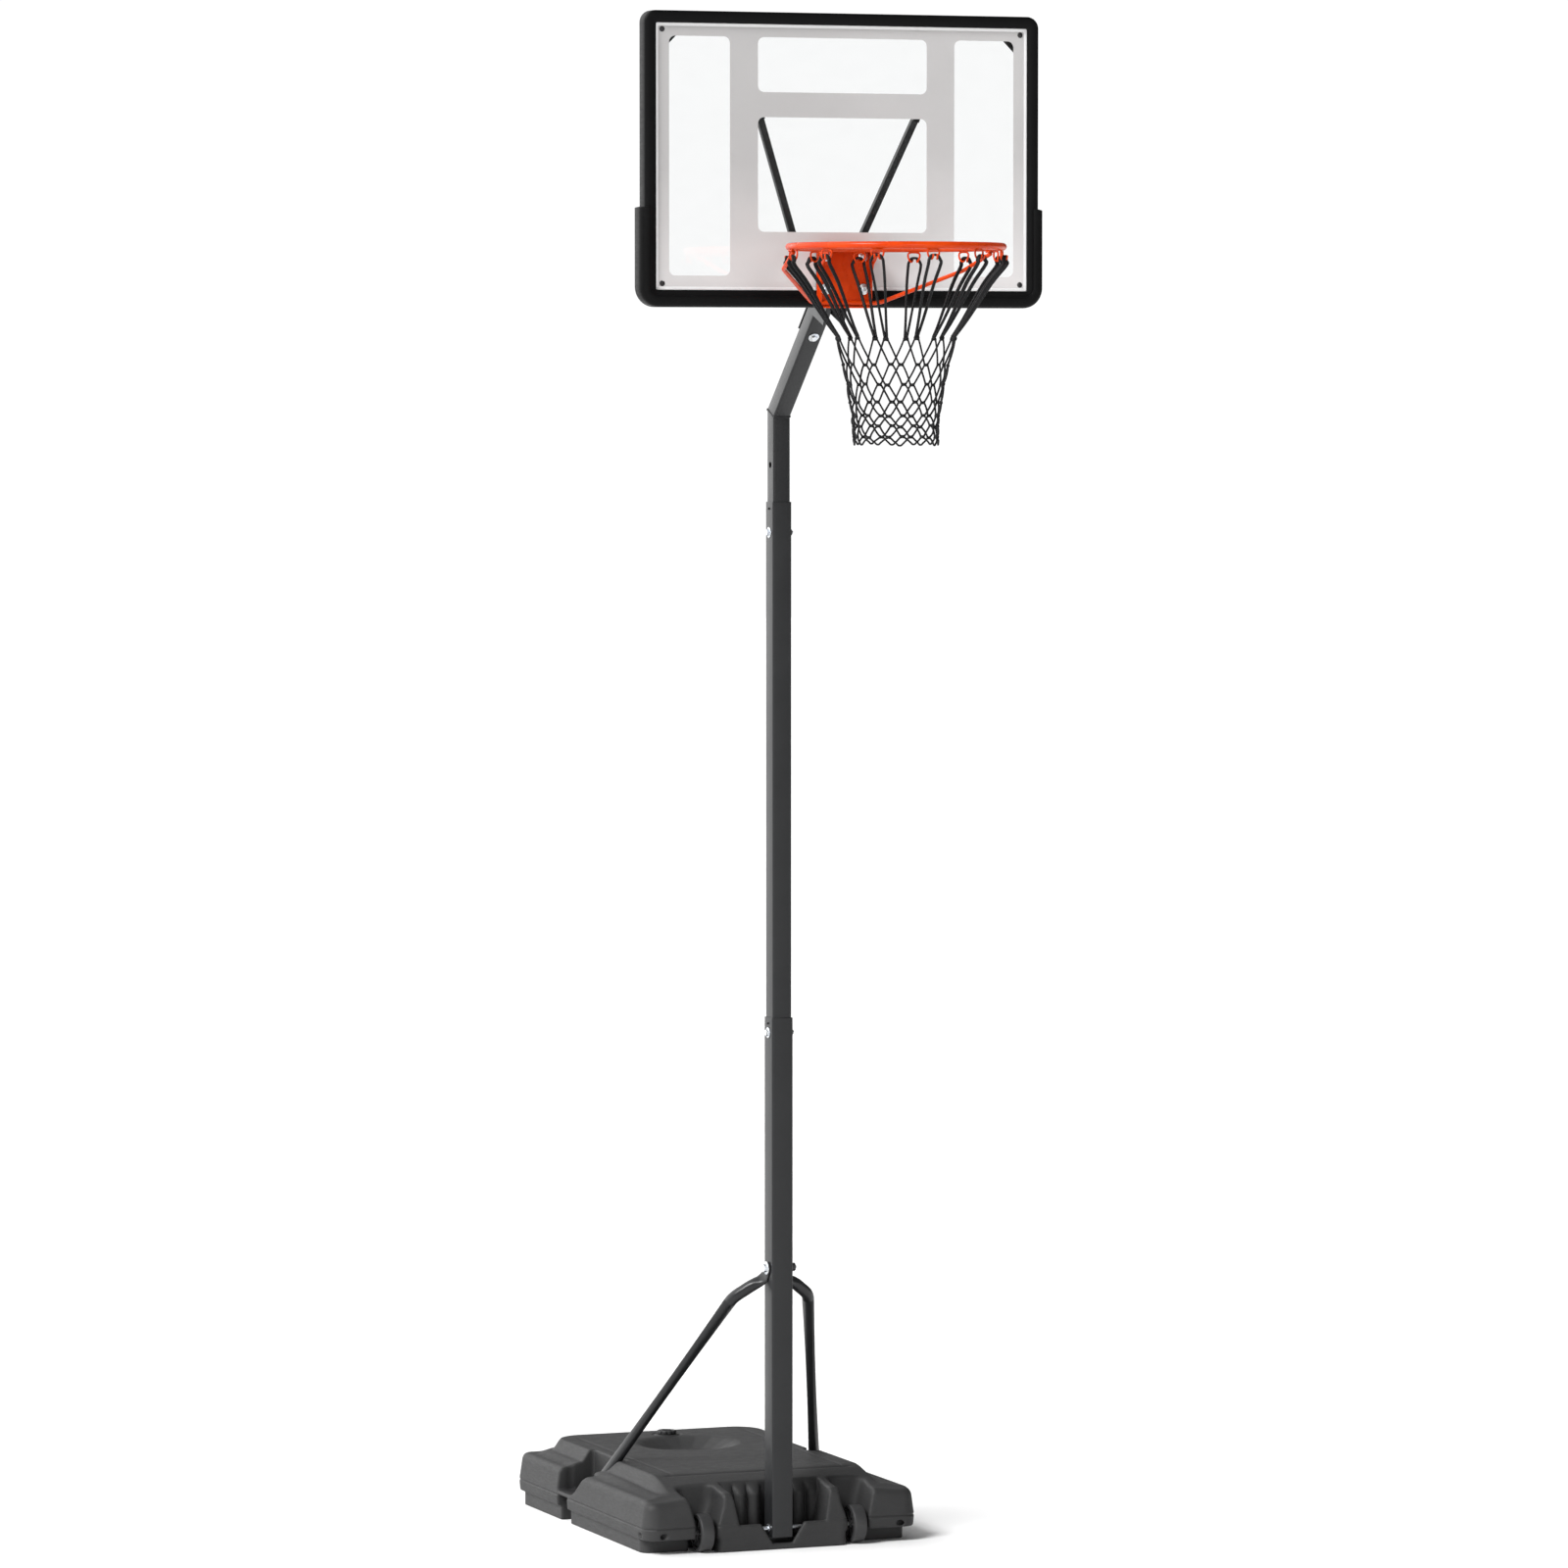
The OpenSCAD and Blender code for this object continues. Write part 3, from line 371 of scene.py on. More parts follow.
def rounded_rect(w, h, r, steps=6):
    """Points of a rounded rectangle about the origin, going round from its right side."""
    r = min(max(r, 1e-5), min(w, h) / 2 - 1e-6)
    out = []
    for q, (sx, sy) in enumerate(((1, 1), (-1, 1), (-1, -1), (1, -1))):
        for k in range(steps + 1):
            a = (q + k / steps) * pi / 2
            out.append((sx * (w / 2 - r) + r * cos(a), sy * (h / 2 - r) + r * sin(a)))
    return out


def fillet(points, radius, steps=8):
    """A path whose inner corners are arcs of that radius, or as near as the path's lengths allow."""
    pts = [Vector(p) for p in points]
    out = [pts[0]]
    for a, b, c in zip(pts, pts[1:], pts[2:]):
        u, v = (a - b).normalized(), (c - b).normalized()
        turn = pi - u.angle(v)
        cut = min(radius * tan(turn / 2), 0.48 * (a - b).length, 0.48 * (c - b).length)
        r = cut / tan(turn / 2)
        centre = b + (u + v).normalized() * (r / cos(turn / 2))
        start, end = b + u * cut - centre, b + v * cut - centre
        for k in range(steps + 1):
            out.append(centre + start.slerp(end, k / steps).normalized() * r)
    out.append(pts[-1])
    return out


def frames(path, closed):
    """(point, side, normal) along a path, turned as little as possible."""
    n = len(path)
    tangents = []
    for i in range(n):
        a = path[(i - 1) % n] if closed else path[max(i - 1, 0)]
        b = path[(i + 1) % n] if closed else path[min(i + 1, n - 1)]
        tangents.append((b - a).normalized())
    guess = Z if abs(tangents[0].z) < 0.9 else X
    side = guess.cross(tangents[0]).normalized()
    out = []
    for p, t in zip(path, tangents):
        side = (side - t * side.dot(t)).normalized()
        out.append((p, side, t.cross(side)))
    return out


def sweep(path, section, closed=False, scale=None):
    """A section, (side, normal) points, carried along a path. scale is a size factor per point."""
    rings = []
    for i, (p, side, normal) in enumerate(frames([Vector(p) for p in path], closed)):
        f = scale[i] if scale else 1.0
        rings.append([p + side * (a * f) + normal * (b * f) for a, b in section])
    return loft(rings, closed)


def rod(path, r, steps=12):
    """A round rod with softly closed ends."""
    path = [Vector(p) for p in path]
    soft = 0.35 * r
    first, last = (path[0] - path[1]).normalized(), (path[-1] - path[-2]).normalized()
    path = [path[0], path[0] - first * soft, *path[1:-1], path[-1] - last * soft, path[-1]]
    return sweep(path, circle(r, steps), scale=[0.72] + [1.0] * (len(path) - 2) + [0.72])


def lathe(profile, steps=48, closed=False, notches=0, notch_from=0.0):
    """A profile of (radius, z) turned about Z. Notches are pressed into what lies beyond notch_from."""
    rings = []
    for r, z in profile:
        deep = 0.42 * max(0.0, r - notch_from) if notches else 0.0
        radii = [r - deep * max(0.0, cos(notches * a)) ** 3 for a in turns(steps)]
        rings.append([(rr * cos(a), rr * sin(a), z) for rr, a in zip(radii, turns(steps))])
    return loft(rings, closed)


def aimed(point, direction, twist=0.0):
    """Carries +Z onto direction and the origin to point."""
    turn = Vector(direction).to_track_quat("Z", "Y").to_matrix().to_4x4()
    return Matrix.Translation(Vector(point)) @ turn @ Matrix.Rotation(twist, 4, "Z")


def soft_edge(r, z0, z1, bevel, inner=1e-5):
    """Lathe profile of a disc or ring whose outer edges are rounded."""
    low = [(r - f * bevel, z0 + g * bevel) for f, g in ((1, 0), (0.3, 0.3), (0, 1))]
    return [(inner, z0), *low, *((a, z1 - (z - z0)) for a, z in low[::-1]), (inner, z1)]


# ---------- fasteners ----------

M8, M10 = 0.008, 0.010
HEX = 1.63          # a head's width across its flats, as a share of the thread
WASHER_T = 0.0016


def hexagon(across, z, chamfer=0):
    """A hexagonal ring. Its corners sink with chamfer 1 and rise with -1."""
    ring = []
    for a in turns(48):
        r = across / 2 / cos((a + pi / 6) % (pi / 3) - pi / 6)
        ring.append((r * cos(a), r * sin(a), z - chamfer * 0.55 * (r - 0.95 * across / 2)))
    return ring


def hex_rings(across, z0, z1, two_sided=False):
    """Rings of a hexagon with its corners chamfered at the top, or at both ends."""
    flat = 0.95 * across / 2
    rings = [disc(flat, z0), hexagon(across, z0, -1)] if two_sided else [hexagon(across, z0)]
    return rings + [hexagon(across, z1, 1), disc(flat, z1)]


def add_thread(shape, matrix, d, z0, z1, pitch=0.00125):
    """A threaded end from z0 down to z1, with its ridges."""
    r, count = d / 2, max(2, int((z0 - z1) / pitch))
    profile = [(1e-5, z0), (r * 0.86, z0)]
    for i in range(count):
        z = z0 - (z0 - z1 - 0.001) * (i + 0.5) / count
        profile += [(r, z), (r * 0.86, z - pitch / 2)]
    shape.add(*lathe([*profile, (r * 0.7, z1), (1e-5, z1)], 20), matrix)


def add_bolt(shape, point, direction, d, tail=None):
    """A bolt whose washer lies at point and whose head looks along direction.
    tail is (start, end) of the threaded length that shows, below the washer."""
    m = aimed(point, direction)
    top = WASHER_T + 0.66 * d
    shape.add(*lathe(soft_edge(1.5 * d, 0, WASHER_T, 0.0004), 48), m)
    rings = hex_rings(HEX * d, WASHER_T, top)
    # a shallow dish in the top of the head
    rings += [[(f * x, f * y, z) for x, y, _ in rings[-1]] for f, z in ((0.6, top), (0.5, top - 0.0006))]
    shape.add(*loft(rings), m)
    if tail:
        add_thread(shape, m, d, -tail[0], -tail[1])


def add_nut(shape, point, direction, d):
    m = aimed(point, direction)
    top = WASHER_T + 0.8 * d
    shape.add(*lathe(soft_edge(1.2 * d, 0, WASHER_T, 0.0004, d / 2 + 0.0003), 48, closed=True), m)
    rings = hex_rings(HEX * d, WASHER_T, top, True)
    rings += [disc(0.5 * d + 0.0006, top), disc(0.5 * d, top - 0.0006), disc(0.5 * d, WASHER_T)]
    shape.add(*loft(rings, closed=True), m)


def bolt_piece(name, node, body, places, tail=None, d=M8):
    shape = Shape()
    for point, direction in places:
        add_bolt(shape, point, direction, d, tail)
    shape.piece(name, body, "zinc_steel", [node])


def nut_piece(name, node, body, places, d=M8, slot="zinc_steel"):
    shape = Shape()
    for point, direction in places:
        add_nut(shape, point, direction, d)
    shape.piece(name, body, slot, [node])


def left_right(x, y, z, direction):
    return [((s * x, y, z), direction) for s in (-1, 1)]


def make_fasteners():
    tab, strap = 0.004, 0.0032
    pin, cheek = ELBOW + ARM_DIR * 0.359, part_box("brace_right")[0].x + tab
    # bolts along X, with the head on the left and the nut on the right
    for name, node, body, half, d, slot, y, z in (
            ("pivot", "strut_pivot", "stand", LOWER[1].x + tab, M10, "dark_steel", 0, STRUT_TOP_Z),
            ("joint", "pole_joint", "stand", LOWER[1].x, M8, "dark_steel", 0, JOINT_Z),
            ("height_pin", "height", "stand", MIDDLE[1].x, M8, "dark_steel", 0, HEIGHT_Z),
            ("brace_pivot", "brace", "head", cheek, M8, "zinc_steel", pin.y, pin.z)):
        reach = half * 2 + WASHER_T + 0.8 * d
        tail = (reach - 0.001, reach + 0.003)
        bolt_piece(name + "_bolt", node + "_bolt", body, [((-half, y, z), -X)], tail, d)
        nut_piece(name + "_nut", node + "_nut", body, [((half, y, z), X)], d, slot)
    # the arm's own bolt, square to it
    low, half = ELBOW + ARM_DIR * 0.268, UPPER[1].x
    reach = 2 * half + strap + WASHER_T + 0.8 * M8
    bolt_piece("arm_pin_bolt", "arm_bolt", "head", [(low - ARM_UP * (half + 0.0001), -ARM_UP)],
               (reach - 0.001, reach + 0.003))
    nut_piece("arm_pin_nut", "arm_nut", "head", [(low + ARM_UP * (half + strap), ARM_UP)])
    # strut feet
    bolt_piece("foot_bolts", "strut_foot_bolts", "stand", left_right(0.271, 0.520, 0.072, Z), (0.0205, 0.025))
    nut_piece("foot_nuts", "strut_foot_nuts", "stand", left_right(0.271, 0.520, 0.059, -Z))
    # tops of the braces
    bolt_piece("brace_end_bolts", "brace_top_bolts", "head", left_right(0.193, REAR[1].y + tab, 3.204, Y))
    # rim bolts and nuts
    rows = [(s * 0.044, z, back) for s in (-1, 1)
            for z, back in ((2.805, REAR[1].y), (2.877, PANEL[1].y + 0.003))]
    bolt_piece("rim_mount_bolts", "rim_bolts", "head",
               [((x, PLATE[1].y - 0.004, z), -Y) for x, z, _ in rows], (0.0385, 0.041))
    nut_piece("rim_mount_nuts", "rim_nuts", "head", [((x, back, z), Y) for x, z, back in rows])
    # set screws with a hexagon socket
    shape = Shape()
    for half, z, inner in ((LOWER[1].x, LOWER[1].z - 0.013, MIDDLE[1].x),
                           (MIDDLE[1].x, MIDDLE[1].z - 0.015, UPPER[1].x)):
        rings = [disc(0.0025, inner - half - 0.0029), disc(0.0025, -0.0004), disc(0.0021, 0),
                 hexagon(0.0025, 0), hexagon(0.0025, -0.0018)]
        shape.add(*loft(rings), aimed((-half - 0.003, 0, z), -X))
    shape.piece("socket_screws", "stand", "dark_steel", ["set_screws"])


# ---------- mast ----------

def square_ring(w, r, z):
    return [(x, y, z) for x, y in rounded_rect(w, w, r)]


def make_pole(name, node, box):
    """A square tube with its wall, its rolled corners and dressed ends."""
    w, z0, z1, edge = box[1].x * 2, box[0].z, box[1].z, 0.0004
    rings = [square_ring(w - 2 * d, TUBE_CORNER - d, z) for d, z in (
        (edge, z0), (0, z0 + edge), (0, z1 - edge), (edge, z1), (WALL, z1), (WALL, z0))]
    Shape().add(*loft(rings, closed=True)).piece(name, "stand", "mast_paint", [node])


def make_upper_pole():
    w = UPPER[1].x * 2
    tip = ELBOW + ARM_DIR * ARM_LENGTH
    mitre = (ARM_DIR + Z).normalized()

    def bend(width, corner, steps=6):
        return [Vector((x, y, ELBOW.z - (y * mitre.y) / mitre.z))
                for x, y in rounded_rect(width, width, corner, steps)]

    def tube(width, corner):
        corners = bend(width, corner)
        return [[Vector((x, y, UPPER[0].z)) for x, y, _ in corners], corners,
                [p + ARM_DIR * ((tip - p).dot(ARM_DIR)) for p in corners]]

    rings = tube(w, TUBE_CORNER) + tube(w - 2 * WALL, TUBE_CORNER - WALL)[::-1]
    pole = Shape().add(*loft(rings, closed=True)).piece("upper_tube", "head", "mast_paint", ["upper_pole"])
    cutter = Shape()
    for i in (-1, 0, 1):
        cutter.add(*lathe([(HOLE_R, -w), (HOLE_R, w)], 40), aimed((0, 0, HEIGHT_Z + i * HOLE_PITCH), X))
    cut(pole, cutter)
    # weld bead round the mitre
    bead, fine = bend(w + 0.0006, TUBE_CORNER, 8), []
    for a, b in zip(bead, bead[1:] + bead[:1]):
        parts = max(1, int((b - a).length / 0.002))
        fine += [a.lerp(b, k / parts) for k in range(parts)]
    ripple = [1 + 0.16 * sin(k * 2.1) for k in range(len(fine))]
    Shape().add(*sweep(fine, circle(0.0019, 8), closed=True, scale=ripple)).piece(
        "elbow_weld", "head", "mast_paint", sharp=70)


def final_mesh(obj):
    graph = bpy.context.evaluated_depsgraph_get()
    return bpy.data.meshes.new_from_object(obj.evaluated_get(graph))


def cut(obj, shape):
    """Takes shape away from obj's mesh."""
    tool = new_object("cutter", shape.mesh("cutter"))
    modifier = obj.modifiers.new("cut", "BOOLEAN")
    modifier.object, modifier.operation, modifier.solver = tool, "DIFFERENCE", "EXACT"
    made = final_mesh(obj)
    obj.modifiers.clear()
    obj.data = made
    bpy.data.objects.remove(tool)
    smooth(made, 32)


def flat_section(half_w, half_t, power, steps=28):
    """A superellipse: round at power 2, a flattened tube above it."""
    return [(copysign(abs(c) ** (2 / power), c) * half_w, copysign(abs(s) ** (2 / power), s) * half_t)
            for c, s in circle(1.0, steps)]


def make_strut(side, name, node):
    """A bent round tube whose two ends are pressed flat round their bolts."""
    top, low = Vector((0.027, 0, STRUT_TOP_Z)), Vector((0.271, 0.520, 0.070))
    bend, foot = Vector((0.090, 0.050, 0.560)), Vector((0.2715, 0.463, 0.0765))
    flat_dir, along = Vector((0, 0.577, -0.817)), (foot - bend).normalized()
    tab_r, tab_w, thin, flat = 0.0145, 0.0155, 0.0019, 4.0
    quarter = [pi / 2 * k / 5 for k in range(6)]
    # each station: its place, half width, half thickness and superellipse power
    stations = [(top - flat_dir * tab_r * cos(a), max(tab_r * sin(a), 0.001), thin, flat) for a in quarter]
    stations += [(top + flat_dir * 0.012, tab_w, thin, flat)]
    upper_end = (
        ((0.0275, 0.0135, 0.6095), 0.0165, 0.0026, 3.6), ((0.0305, 0.0180, 0.6035), 0.0160, 0.0052, 2.9),
        ((0.0365, 0.0225, 0.5975), 0.0145, 0.0088, 2.3), ((0.0460, 0.0275, 0.5915), 0.0139, 0.0126, 2.05))
    run = fillet([Vector((0.056, 0.0325, 0.5850)), bend, foot - along * 0.030], 0.05, 9)
    lower_end = (
        (foot - along * 0.012, 0.0139, 0.0128, 2.1), ((0.2713, 0.4640, 0.0778), 0.0139, 0.0098, 2.3),
        ((0.2711, 0.4740, 0.0725), 0.0152, 0.0062, 2.8), ((0.2710, 0.4850, 0.0705), 0.0160, 0.0028, 3.6))
    stations += [(Vector(p), *section) for p, *section in (
        *upper_end, *((p, STRUT_R, STRUT_R, 2.0) for p in run), *lower_end)]
    stations += [(low - Y * 0.022, tab_w, thin, flat)]
    stations += [(low + Y * tab_r * cos(a), max(tab_r * sin(a), 0.001), thin, flat) for a in quarter[::-1]]
    rings, last = [], len(stations) - 1
    for i, (p, *section) in enumerate(stations):
        t = (stations[min(i + 1, last)][0] - stations[max(i - 1, 0)][0]).normalized()
        share = min(1.0, max(0.0, (p.z - 0.10) / (0.56 - 0.10)))
        wide = X.lerp(Vector((0, 0.817, 0.577)), share * share * (3 - 2 * share))
        wide = (wide - t * wide.dot(t)).normalized()
        thick = t.cross(wide)
        rings.append([p + wide * a + thick * b for a, b in flat_section(*section)])
    verts, faces = loft(rings)
    Shape().add(verts * np.array([side, 1, 1]), faces).piece(name, "stand", "mast_paint", [node], sharp=50)


def make_mast():
    make_pole("lower_tube", "lower_pole", LOWER)
    make_pole("middle_tube", "middle_pole", MIDDLE)
    make_upper_pole()
    make_strut(-1, "left_strut", "strut_left")
    make_strut(1, "right_strut", "strut_right")
    # pressed-in plug of the arm's end
    w = UPPER[1].x * 2
    rings = [square_ring(w - 2 * d, TUBE_CORNER - d, z) for d, z in (
        (0.0017, -0.02), (0.0017, 0), (0.0003, 0), (0, 0.0004), (0, 0.0013),
        (0.0003, 0.0018), (0.0009, 0.002), (0.006, 0.002), (0.0066, 0.0016))]
    turn = Matrix((X, ARM_UP, ARM_DIR)).transposed().to_4x4()
    place = Matrix.Translation(ELBOW + ARM_DIR * ARM_LENGTH) @ turn
    Shape().add(*loft(rings), place).piece("arm_cap", "head", "cap_plastic", ["arm_end_plug"])


# ---------- base ----------

def smooth_min(a, b, k):
    h = np.clip(0.5 + 0.5 * (b - a) / k, 0, 1)
    return b + (a - b) * h - k * h * (1 - h)


def smooth_max(a, b, k):
    return -smooth_min(-a, -b, k)


def smoothstep(x, a, b):
    t = np.clip((x - a) / (b - a), 0, 1)
    return t * t * (3 - 2 * t)


def rect_distance(u, v, half_u, half_v, r):
    """Signed distance to a rounded rectangle about the origin."""
    qu, qv = np.abs(u) - half_u + r, np.abs(v) - half_v + r
    return np.hypot(np.maximum(qu, 0), np.maximum(qv, 0)) + np.minimum(np.maximum(qu, qv), 0) - r


def tank_distance(x, y, z):
    """Signed distance, in millimetres, to the tank's outer surface."""
    half_w, y0, y1 = TANK[1].x * 1000, TANK[0].y * 1000, TANK[1].y * 1000
    mid_y, half_l = (y0 + y1) / 2, (y1 - y0) / 2
    parting, skirt, deck = 59.0, 33.0, TANK[1].z * 1000
    ax = np.abs(x)

    # side walls lean in above the parting line, which is a groove
    lean = 9 * np.clip((z - parting) / 65, 0, 1.3) + 2 * np.clip((parting - z) / 26, 0, 1)
    wall = rect_distance(x, y - mid_y, half_w, half_l, 34.0) + lean
    wall = wall + 3.0 * np.exp(-((z - parting) / 1.6) ** 2)

    # top: a raised deck that steps down to shoulders, and falls towards the front
    front = smoothstep(y, -25, 160)
    side_fall = smoothstep(ax, 150, 300)
    plateau = (130 - 14 * side_fall) * (1 - front) + deck * front
    out = rect_distance(x, y - 320, 245, 484, 60.0)
    drop = smoothstep(out, -1, 23)
    shoulder = 126 - 5 * smoothstep(out, 20, 60) + 5 * smoothstep(y, 60, 300) * smoothstep(out, 60, 20)
    top = plateau * (1 - drop) + np.minimum(shoulder, plateau) * drop
    # a shallow channel across the deck and two long creases
    top = top - 2.2 * np.exp(-((y - 128) / 5.0) ** 2) * smoothstep(ax, 232, 214)
    top = top - 1.4 * np.exp(-((ax - 205) / 4.0) ** 2) * smoothstep(y, 120, 150) * smoothstep(y, 770, 740)
    body = smooth_max(wall, (z - top) * 0.93, 15.0)
    body = smooth_max(body, skirt - z, 5.0)

    # foot under the skirt and the pad under the mast
    foot = np.maximum(rect_distance(x, y - (22 + y1 - 17) / 2, half_w - 11, (y1 - 39) / 2, 24.0), -z)
    pad = np.maximum(rect_distance(x, y - 56.5, 155, 85.5, 14.0), -z)
    low = smooth_min(np.maximum(foot, z - 90), np.maximum(pad, z - 60), 6.0)
    body = smooth_min(body, low, 5.0)
    # flat on the ground
    body = np.maximum(body, -z)

    # recess for the mast, with fluted back wall
    flute = sum(19.0 * np.sqrt(np.clip(1 - ((ax - c) / 16.5) ** 2, 0, 1)) for c in (37.0, 70.0, 103.0))
    back = 66 - flute * smoothstep(z, 10, 24) * smoothstep(-z, -146, -112)
    side = ax - 103 - 0.2 * np.clip(z - 60, -20, 75)
    hole = smooth_max(smooth_max(side, y - back, 5.0), 13 - z, 4.0)
    hole = smooth_max(hole, -20 - y, 3.0)
    over = smooth_max(smooth_max(side, y - 20, 4.0), parting - z, 3.0)
    notch = np.maximum(np.maximum(ax - 23 - 29 * (z - 13) / 46, y - 10), 13 - z)
    hole = np.minimum(np.minimum(hole, over), notch)

    # wheel wells: funnels open at the front and the top
    open_up = np.clip((z - parting) / 70, 0, 1.3)
    out_half, in_half = 22.5 + 18 * open_up ** 1.2, 25 + 19 * smoothstep(z, 40, 118)
    reach = 58 + 6 * open_up
    well = smooth_max(smooth_max(ax - 183.5 - out_half, 183.5 - ax - in_half, 6.0), y - reach, 22.0)

    # pockets of the strut feet
    inner = smooth_max(np.abs(ax - 267) - 33, np.abs(y - 490) - 70, 8.0)
    inner = smooth_max(inner, 68 - z, 4.0)
    rim = 69 + 63 * smoothstep(-y, -480, -370)
    outer = smooth_max(smooth_max(288 - ax, y - 560, 5.0), rim - z, 5.0)
    outer = smooth_max(outer, 366 - y, 6.0)
    p, q = np.array([90.0, 50.0, 560.0]), np.array([271.5, 463.0, 75.5])
    d = (q - p) / np.linalg.norm(q - p)
    t = (ax - p[0]) * d[0] + (y - p[1]) * d[1] + (z - p[2]) * d[2]
    off = np.sqrt((ax - p[0] - t * d[0]) ** 2 + (y - p[1] - t * d[1]) ** 2 + (z - p[2] - t * d[2]) ** 2)
    groove = np.maximum(off - 19, 66 - z)
    pocket = smooth_min(smooth_min(inner, outer, 6.0), groove, 8.0)
    under = np.maximum(np.maximum(234 - ax, np.abs(y - 525.5) - 30.5), z - parting)

    # faceted dish, and the neck under the cap
    a = np.arctan2(y - 592, x - 6)
    facet = np.cos(np.mod(a, pi / 9) - pi / 18) / cos(pi / 18)
    radius = np.hypot(x - 6, y - 592) * facet
    dish = smooth_max((radius - 66 - 2.15 * (z - deck + 24)) * 0.43, deck - 24 - z, 3.0)
    for hollow, soft in ((hole, 6.0), (well, 7.0), (pocket, 5.0), (under, 4.0), (dish, 5.0)):
        body = smooth_max(body, -hollow, soft)
    neck = np.hypot(x - 10, y - 738)
    boss = smooth_max(neck - 27, z - deck, 2.0)
    body = smooth_min(body, np.maximum(boss, deck - 6 - z), 2.0)
    moat = np.maximum(np.abs(neck - 31) - 2.2, deck - 2.2 - z)
    body = smooth_max(body, -moat, 2.0)
    body = np.maximum(body, -np.maximum(neck - 16.8, deck - 32 - z))
    # tie-down holes through the front corners of the skirt
    for s in (-1, 1):
        across = (s * x - 318) * 0.70 - (y + 10) * 0.71
        along = (s * x - 318) * 0.71 + (y + 10) * 0.70
        tie = np.hypot(across + 13, z - 43) - 6.5
        body = smooth_max(body, -np.maximum(tie, np.abs(along) - 60), 1.5)
    return body


def field_mesh(name, step, shape):
    """The surface where shape(x, y, z), in millimetres, is zero."""
    lo, hi, step = (np.array(a) for a in ((-336.0, -36.0, -4.5), (336.0, 852.0, 165.0), step))
    count = np.ceil((hi - lo) / step).astype(int) + 1
    axes = [(lo[i] + step[i] * np.arange(count[i])).astype(np.float32) for i in range(3)]
    field = shape(*np.meshgrid(*axes, indexing="ij", sparse=True))
    grid = openvdb.FloatGrid(10.0)
    grid.copyFromArray(np.ascontiguousarray(field.astype(np.float32)))
    points, triangles, quads = grid.convertToPolygons(isovalue=0.0, adaptivity=0.0)
    mesh = bpy.data.meshes.new(name)
    mesh.from_pydata(((points * step + lo) * 0.001).tolist(), [], quads.tolist() + triangles.tolist())
    return mend(mesh, 1e-6)


def make_tank():
    shell = field_mesh("tank_shell", (3.0, 3.0, 1.5), tank_distance)
    finish_piece(shell, "tank_shell", "stand", "tank_plastic", ["base_tank"], sharp=180)
    level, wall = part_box("water_ballast")[1].z * 1000, 6.0
    fill = field_mesh("water_fill", (6.0, 6.0, 3.0),
                      lambda x, y, z: np.maximum(tank_distance(x, y, z) + wall, z - level))
    finish_piece(fill, "water_fill", "stand", "water", ["water_ballast"], sharp=40)


def make_wheel(node, body):
    """A tread, a rim lip, a dished web with spokes behind it, and a hub."""
    lo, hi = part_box(node)
    r, h, centre = (hi.z - lo.z) / 2, (hi.x - lo.x) / 2, (lo.x + hi.x) / 2
    # radius of the hub's points, or how far the others lie inside the tread; then the depth below the side
    hub = ((5.05, 0.2), (5.5, 0), (10.5, 0), (11, 0.6), (11.5, 4.8), (13, 5.2))
    tread = ((10.5, 5.2), (9, 4.6), (8.5, 0.8), (7.8, 0), (4, 0), (1.2, 1.2), (0.3, 2.8), (0, 4.5))
    half = [(a * MM, h - d * MM) for a, d in hub] + [(r - a * MM, h - d * MM) for a, d in tread]
    profile = half + [(a, -b) for a, b in half[::-1]]
    shape = Shape().add(*lathe(profile, 96, closed=True), aimed((centre, 0, AXLE_Z), X))
    spoke = rounded_rect(r - 0.0215, 0.0028, 0.0009, 2)
    rings = [[(x * f, y * f, z) for x, y in spoke] for f, z in ((1, 0.0), (1, 0.0034), (0.96, 0.0038))]
    for k in range(6):
        for s in (-1, 1):
            turn = (aimed((centre + s * (h - 0.0056), 0, AXLE_Z), X * s)
                    @ Matrix.Rotation(k * pi / 3, 4, "Z") @ Matrix.Translation((r / 2 + 0.001, 0, 0)))
            shape.add(*loft(rings), turn)
    shape.piece(body + "_tread", body, "wheel_plastic", [node])


def make_axle():
    """The axle with chamfered ends, and a washer where it leaves each side of the mast."""
    lo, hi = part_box("wheel_axle")
    r, c = (hi.z - lo.z) / 2, 0.0008
    profile = [(1e-5, lo.x), (r - c, lo.x), (r, lo.x + c), (r, hi.x - c), (r - c, hi.x), (1e-5, hi.x)]
    shape = Shape().add(*lathe(profile, 32), aimed((0, 0, AXLE_Z), X))
    for s in (-1, 1):
        shape.add(*lathe(soft_edge(0.0105, 0, WASHER_T, 0.0004), 40),
                  aimed((s * (LOWER[1].x + 0.0002), 0, AXLE_Z), X * s))
    shape.piece("axle_rod", "stand", "zinc_steel", ["wheel_axle"])


